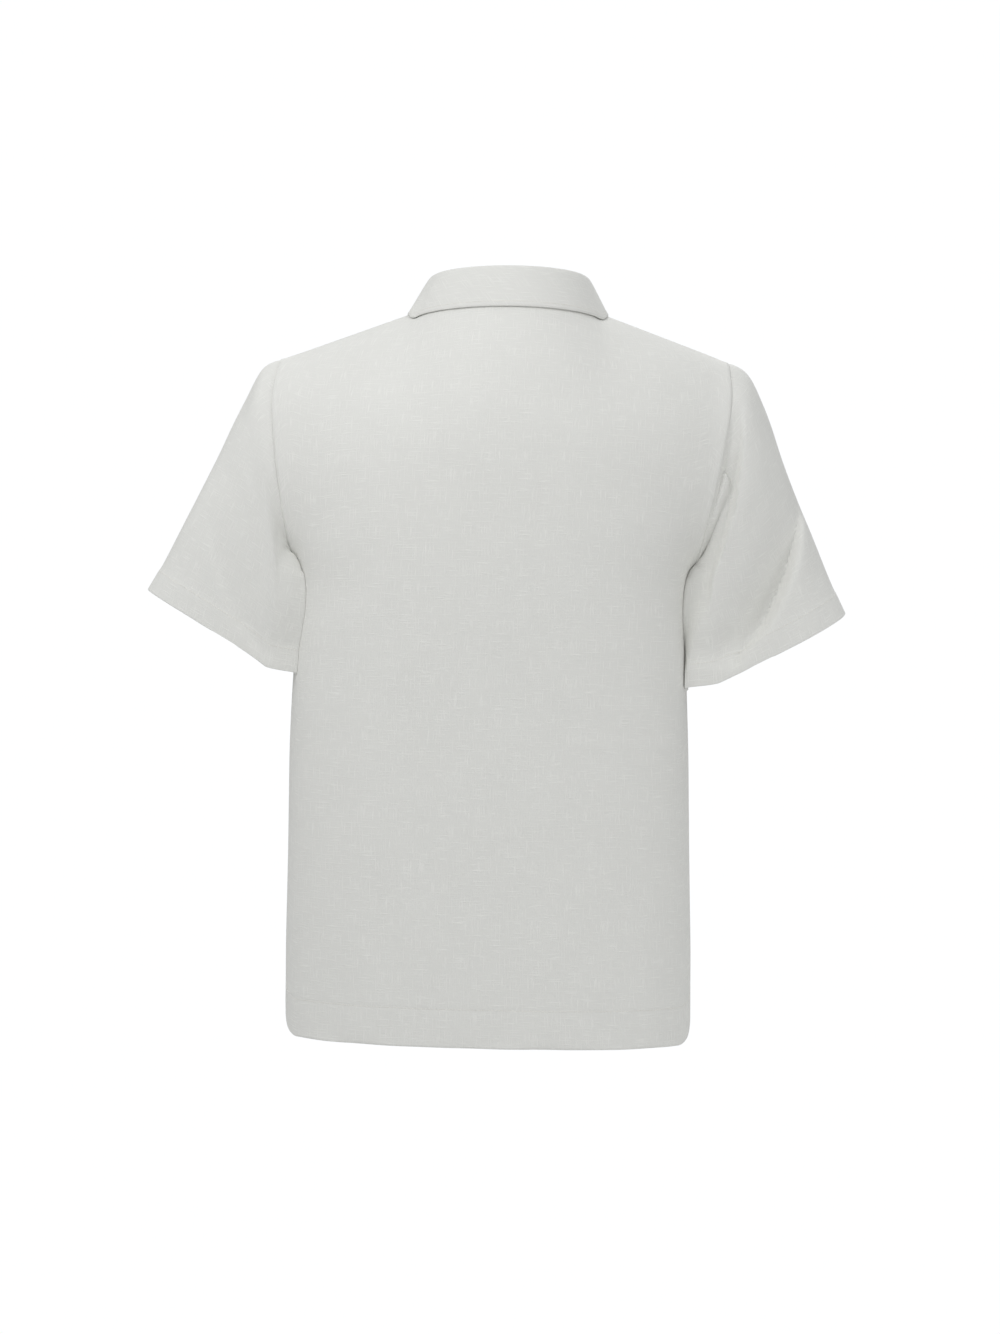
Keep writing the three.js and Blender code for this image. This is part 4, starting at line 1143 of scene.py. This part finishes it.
def linen_material(colour):
    """Plain-woven linen, matt and a little uneven: thick places in the yarn catch the light
    as short dashes along both threads, and the bare weave shows only close by."""
    material, tree, shader = new_material(
        "linen_plain_weave", {"Roughness": 0.92, "Specular IOR Level": 0.25,
                              "Sheen Weight": 0.05, "Sheen Roughness": 0.5})
    uv = add_node(tree, "ShaderNodeUVMap", uv_map="thread_lines").outputs[0]
    warp = thread_pattern(tree, uv, SLUB_WIDTH, SLUB_LENGTH)
    weft = thread_pattern(tree, uv, SLUB_LENGTH, SLUB_WIDTH)
    slubs = add_math(tree, "MAXIMUM", warp, weft)
    # A linen of 165 g/m2 has about 16 threads to the centimetre; drawn at 12 to show
    split = add_node(tree, "ShaderNodeSeparateXYZ", {0: uv}).outputs
    turns = 2 * math.pi / WEAVE_PITCH
    rows = [add_math(tree, "SINE", add_math(tree, "MULTIPLY", split[axis], turns)) for axis in "XY"]
    weave = add_math(tree, "MULTIPLY", *rows)
    height = add_math(tree, "MULTIPLY_ADD", weave, 0.25, slubs)
    cloud = add_node(tree, "ShaderNodeTexNoise", {"Vector": uv, "Scale": 22.0, "Detail": 3.0})
    base = add_tone(tree, cloud.outputs["Fac"], shade(colour, 0.98), shade(colour, 1.03))
    tree.links.new(add_tone(tree, slubs, base, shade(colour, 1.09)), shader["Base Color"])
    add_bump(tree, shader, 0.5, 0.0004, height)
    return material


def thread_material(colour):
    """Spun polyester sewing thread: smoother than the linen, with its twist as fine ribs."""
    material, tree, shader = new_material(
        "polyester_thread", {"Base Color": shade(colour, 1), "Roughness": 0.6})
    place = add_node(tree, "ShaderNodeTexCoord").outputs["Object"]
    twist = add_node(tree, "ShaderNodeTexWave", {"Vector": place, "Scale": 900.0, "Distortion": 2.0},
                     bands_direction="DIAGONAL")
    add_bump(tree, shader, 0.3, 0.0001, twist.outputs["Fac"])
    return material


def button_material(colour):
    """Cast polyester button resin: satin, with faint clouds like shell."""
    material, tree, shader = new_material(
        "polyester_resin_button", {"Coat Weight": 0.3, "Coat Roughness": 0.2})
    place = add_node(tree, "ShaderNodeTexCoord").outputs["Object"]
    cloud = add_node(tree, "ShaderNodeTexNoise",
                     {"Vector": place, "Scale": 260.0, "Detail": 3.0, "Distortion": 1.5})
    tone = add_tone(tree, cloud.outputs["Fac"], shade(colour, 0.9), shade(colour, 1))
    tree.links.new(tone, shader["Base Color"])
    rough = add_node(tree, "ShaderNodeMapRange",
                     {"Value": cloud.outputs["Fac"], "To Min": 0.28, "To Max": 0.4})
    tree.links.new(rough.outputs[0], shader["Roughness"])
    return material


def floor_material(colour):
    """Matt white studio paper with a very faint tooth."""
    material, tree, shader = new_material(
        "studio_paper", {"Base Color": shade(colour, 1), "Roughness": 0.95})
    place = add_node(tree, "ShaderNodeTexCoord").outputs["Object"]
    tooth = add_node(tree, "ShaderNodeTexNoise", {"Vector": place, "Scale": 400.0})
    add_bump(tree, shader, 0.05, 0.0005, tooth.outputs["Fac"])
    return material


# Operators

class SHIRT_OT_materials(bpy.types.Operator):
    """Makes the linen, thread and button materials"""
    bl_idname = "shirt.materials"
    bl_label = "Materials"

    def execute(self, context):
        colours = context.scene.shirt_colours
        Shirt.materials["linen"] = linen_material(list(colours.linen))
        Shirt.materials["thread"] = thread_material(list(colours.thread))
        Shirt.materials["button"] = button_material(list(colours.button))
        Shirt.materials["floor"] = floor_material(list(colours.floor))
        return {"FINISHED"}


class SHIRT_OT_panels(bpy.types.Operator):
    """Makes the back and the front"""
    bl_idname = "shirt.panels"
    bl_label = "Back and front"

    def execute(self, context):
        add_panel("back")
        add_panel("front")
        Shirt.tree = panels_tree()
        return {"FINISHED"}


class SHIRT_OT_sleeves(bpy.types.Operator):
    """Makes the two sleeves"""
    bl_idname = "shirt.sleeves"
    bl_label = "Sleeves"

    def execute(self, context):
        add_sleeve("sleeve_left")
        add_sleeve("sleeve_right")
        return {"FINISHED"}


class SHIRT_OT_collar(bpy.types.Operator):
    """Makes the collar's stand and fall"""
    bl_idname = "shirt.collar"
    bl_label = "Collar"

    def execute(self, context):
        add_stand()
        add_fall()
        return {"FINISHED"}


class SHIRT_OT_placket(bpy.types.Operator):
    """Makes the two strips of the half placket"""
    bl_idname = "shirt.placket"
    bl_label = "Placket"

    def execute(self, context):
        sizes = context.scene.shirt_sizes
        under = strip_grid(SLOT_HALF - SEAM_GAP, SLOT_BOTTOM + SEAM_GAP, 0)
        add_strip("placket_under", under, sizes.cloth * 1000,
                  lambda across, up: np.zeros_like(up))
        upper = strip_grid(PLACKET_HALF, PLACKET_BOTTOM, SEAM_GAP + SOLID_CLOTH)

        def relief(across, up):
            edge = np.minimum(np.minimum(across, 2 * PLACKET_HALF - across), up)
            soft = 0.1 * waves(up, 13, 91) * bell(edge, 3, 4)
            return -0.22 * bell(edge, PLACKET_LINE_IN, 0.9) + soft

        add_strip("placket_upper", upper, SOLID_CLOTH, relief)
        return {"FINISHED"}


def turned(outline, sides):
    """Points and faces of a solid turned about Z, with both ends of its outline closed flat."""
    turns = [2 * math.pi * i / sides for i in range(sides)]
    places = [(radius * math.cos(turn), radius * math.sin(turn), z)
              for radius, z in outline for turn in turns]
    last = (len(outline) - 1) * sides
    ends = [tuple(range(sides))[::-1], tuple(range(last, last + sides))]
    return places, grid_faces(len(outline), sides, 1, closed=True) + ends


def plain_mesh(name, places, faces):
    mesh = bpy.data.meshes.new(name)
    mesh.from_pydata(places, [], faces)
    return mesh


def button_mesh(material):
    """A four-hole button with a raised rim, its face towards +Z."""
    mesh = plain_mesh("button_blank", *turned(BUTTON_OUTLINE, BUTTON_SIDES))
    hole_places, hole_faces = turned(BUTTON_HOLE_CUT, BUTTON_HOLE_SIDES)
    places = []
    faces = []
    for x, y in ((1, 1), (-1, 1), (-1, -1), (1, -1)):
        first = len(places)
        faces += [tuple(first + i for i in face) for face in hole_faces]
        places += [(x * BUTTON_HOLE_OUT + across, y * BUTTON_HOLE_OUT + up, z)
                   for across, up, z in hole_places]
    cut_mesh = plain_mesh("button_holes", places, faces)
    blank = link("button_blank", mesh)
    cutter = link("button_holes", cut_mesh)
    boolean = blank.modifiers.new("holes", "BOOLEAN")
    boolean.object = cutter
    boolean.solver = "EXACT"
    evaluated = blank.evaluated_get(bpy.context.evaluated_depsgraph_get())
    result = bpy.data.meshes.new_from_object(evaluated)
    for piece, old in ((blank, mesh), (cutter, cut_mesh)):
        bpy.data.objects.remove(piece)
        bpy.data.meshes.remove(old)
    result.materials.append(material)
    return result


def button_place(height):
    """Where a button's middle sits and which way it faces."""
    point, normal = front_place(0.0, height)
    lift = 2 * SEAM_GAP + SOLID_CLOTH + BUTTON_HALF
    middle = lean(point + normal * lift)
    turn = Vector((0, 0, 1)).rotation_difference(Vector(normal)).to_matrix().to_4x4()
    return Matrix.Translation(Vector(middle)) @ turn


class SHIRT_OT_buttons(bpy.types.Operator):
    """Makes the three buttons and the thread that holds them"""
    bl_idname = "shirt.buttons"
    bl_label = "Buttons"

    def execute(self, context):
        blank = button_mesh(Shirt.materials["button"])
        strands = []
        holes = []
        _, _, _, up = Shirt.panels["placket_upper"]
        middle_up = up[:, up.shape[1] // 2]
        heights = np.linspace(PLACKET_BOTTOM, PLACKET_TOP, len(middle_up))
        for i, height in enumerate(BUTTON_HEIGHTS):
            place = button_place(height)
            mesh = blank.copy()
            mesh.transform(Matrix.Scale(0.001, 4) @ place)
            mesh.shade_smooth()
            mesh.set_sharp_from_angle(angle=math.radians(BUTTON_EDGE_ANGLE))
            piece = show(f"button_{i + 1}_resin", mesh, Shirt.materials["button"])
            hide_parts(f"button_{i + 1}")
            for x in (-BUTTON_HOLE_OUT, BUTTON_HOLE_OUT):
                for aside in (-STRAND_APART, 0, STRAND_APART):
                    ends = [Vector((x + aside, y, BUTTON_FACE)) for y in (0, 1)]
                    strands.append([list(place @ end) for end in ends])
            near = np.abs(middle_up - np.interp(height, heights, middle_up)) < BUTTONHOLE / 2
            for side in (-BUTTONHOLE_SIDE, BUTTONHOLE_SIDE):
                holes.append(line_beside("placket_upper", PLACKET_HALF + side)[near])
        bpy.data.meshes.remove(blank)
        add_stitches("button_threads", strands, *BUTTON_STITCH, leaning=False)
        add_stitches("buttonhole_stitches", holes, *BUTTONHOLE_STITCH, across=True)
        return {"FINISHED"}


class SHIRT_OT_stitches(bpy.types.Operator):
    """Makes the rows of stitches along hems and edges"""
    bl_idname = "shirt.stitches"
    bl_label = "Stitches"

    def execute(self, context):
        sizes = context.scene.shirt_sizes
        pitch = sizes.stitch
        length = pitch * STITCH_SHARE
        hem = sizes.hem * 1000 - HEM_LINE_IN
        for name in ("back", "front"):
            add_stitches(name + "_hem_stitches", [line_at(name, hem)], pitch, length)
        for name in ("sleeve_left", "sleeve_right"):
            path = line_at(name, SLEEVE_HEM - HEM_LINE_IN)
            add_stitches(name + "_hem_stitches", [np.concatenate([path, path[:1]])], pitch, length)
        collar = edge_paths("collar_fall", COLLAR_LINE_IN, COLLAR_LINE_REACH)
        add_stitches("collar_edge_stitches", collar, pitch, length)
        box = line_at("placket_upper", PLACKET_BOX)[1:-1]
        placket = edge_paths("placket_upper", PLACKET_LINE_IN, PLACKET_LINE_REACH) + [box]
        add_stitches("placket_stitches", placket, pitch, length)
        return {"FINISHED"}


def add_floor():
    corners = [(x * FLOOR_HALF, y * FLOOR_HALF, FLOOR_Z)
               for x, y in ((-1, -1), (1, -1), (1, 1), (-1, 1))]
    mesh = plain_mesh("floor", corners, [(0, 1, 2, 3)])
    mesh.materials.append(Shirt.materials["floor"])
    link("floor", mesh)


def white_room():
    """A room that is white to look at, and lights the shirt a little less than it shows."""
    world = bpy.data.worlds.new("white_room")
    world.use_nodes = True
    tree = world.node_tree
    seen = add_node(tree, "ShaderNodeLightPath").outputs["Is Camera Ray"]
    way = add_node(tree, "ShaderNodeTexCoord").outputs["Generated"]
    height = add_node(tree, "ShaderNodeSeparateXYZ", {0: way}).outputs["Z"]
    below, above = ROOM_LIGHT
    room = add_node(tree, "ShaderNodeMapRange",
                    {"Value": height, "From Min": -1.0, "To Min": below, "To Max": above})
    strength = add_node(tree, "ShaderNodeMix",
                        {"Factor": seen, "A": room.outputs[0], "B": ROOM_SEEN})
    background = tree.nodes["Background"].inputs
    background["Color"].default_value = (*linear("#fdfeff"), 1)
    tree.links.new(strength.outputs[0], background["Strength"])
    return world


def add_lamp(name, place, aim, size, power):
    """A square soft light that the camera doesn't see."""
    light = bpy.data.lights.new(name, "AREA")
    light.size = size
    light.energy = power
    lamp = link(name, light)
    lamp.visible_camera = False
    way = Vector(aim) - Vector(place)
    lamp.matrix_world = (Matrix.Translation(Vector(place))
                         @ way.to_track_quat("-Z", "Y").to_matrix().to_4x4())


def add_camera():
    """A camera behind the shirt that looks towards -Y, rolled a little as the photo is."""
    lens = bpy.data.cameras.new("camera")
    lens.lens = CAMERA_LENS
    lens.sensor_fit = "VERTICAL"
    lens.sensor_height = CAMERA_SENSOR
    camera = link("camera", lens)
    upright = Matrix.Rotation(math.pi, 4, "Z") @ Matrix.Rotation(math.pi / 2, 4, "X")
    camera.matrix_world = (Matrix.Translation(CAMERA_PLACE) @ upright
                           @ Matrix.Rotation(CAMERA_ROLL, 4, "Z"))
    return camera


class SHIRT_OT_stage(bpy.types.Operator):
    """Makes the floor, the lights, the white room and the camera"""
    bl_idname = "shirt.stage"
    bl_label = "Stage"

    def execute(self, context):
        scene = context.scene
        add_floor()
        scene.world = white_room()
        for light in LIGHTS:
            add_lamp(*light)
        scene.camera = add_camera()
        scene.view_settings.view_transform = "Standard"
        return {"FINISHED"}


class SHIRT_PT_parts(bpy.types.Panel):
    """Lists the steps that build the shirt"""
    bl_idname = "SHIRT_PT_parts"
    bl_label = "Linen polo shirt"
    bl_space_type = "VIEW_3D"
    bl_region_type = "UI"
    bl_category = "Shirt"

    def draw(self, context):
        for group in (context.scene.shirt_sizes, context.scene.shirt_colours):
            for key in group.__annotations__:
                self.layout.prop(group, key)
        for step in STEPS:
            self.layout.operator(step.bl_idname)


STEPS = [SHIRT_OT_materials, SHIRT_OT_panels, SHIRT_OT_sleeves, SHIRT_OT_collar, SHIRT_OT_placket,
         SHIRT_OT_buttons, SHIRT_OT_stitches, SHIRT_OT_stage]
CLASSES = [ShirtSizes, ShirtColours, *STEPS, SHIRT_PT_parts]


def register():
    for each in CLASSES:
        bpy.utils.register_class(each)
    bpy.types.Scene.shirt_sizes = bpy.props.PointerProperty(type=ShirtSizes)
    bpy.types.Scene.shirt_colours = bpy.props.PointerProperty(type=ShirtColours)


def unregister():
    del bpy.types.Scene.shirt_colours
    del bpy.types.Scene.shirt_sizes
    for each in reversed(CLASSES):
        bpy.utils.unregister_class(each)


def main():
    register()
    bpy.ops.shirt.materials()
    bpy.ops.shirt.panels()
    bpy.ops.shirt.sleeves()
    bpy.ops.shirt.collar()
    bpy.ops.shirt.placket()
    bpy.ops.shirt.buttons()
    bpy.ops.shirt.stitches()
    bpy.ops.shirt.stage()


if __name__ == "__main__":
    main()
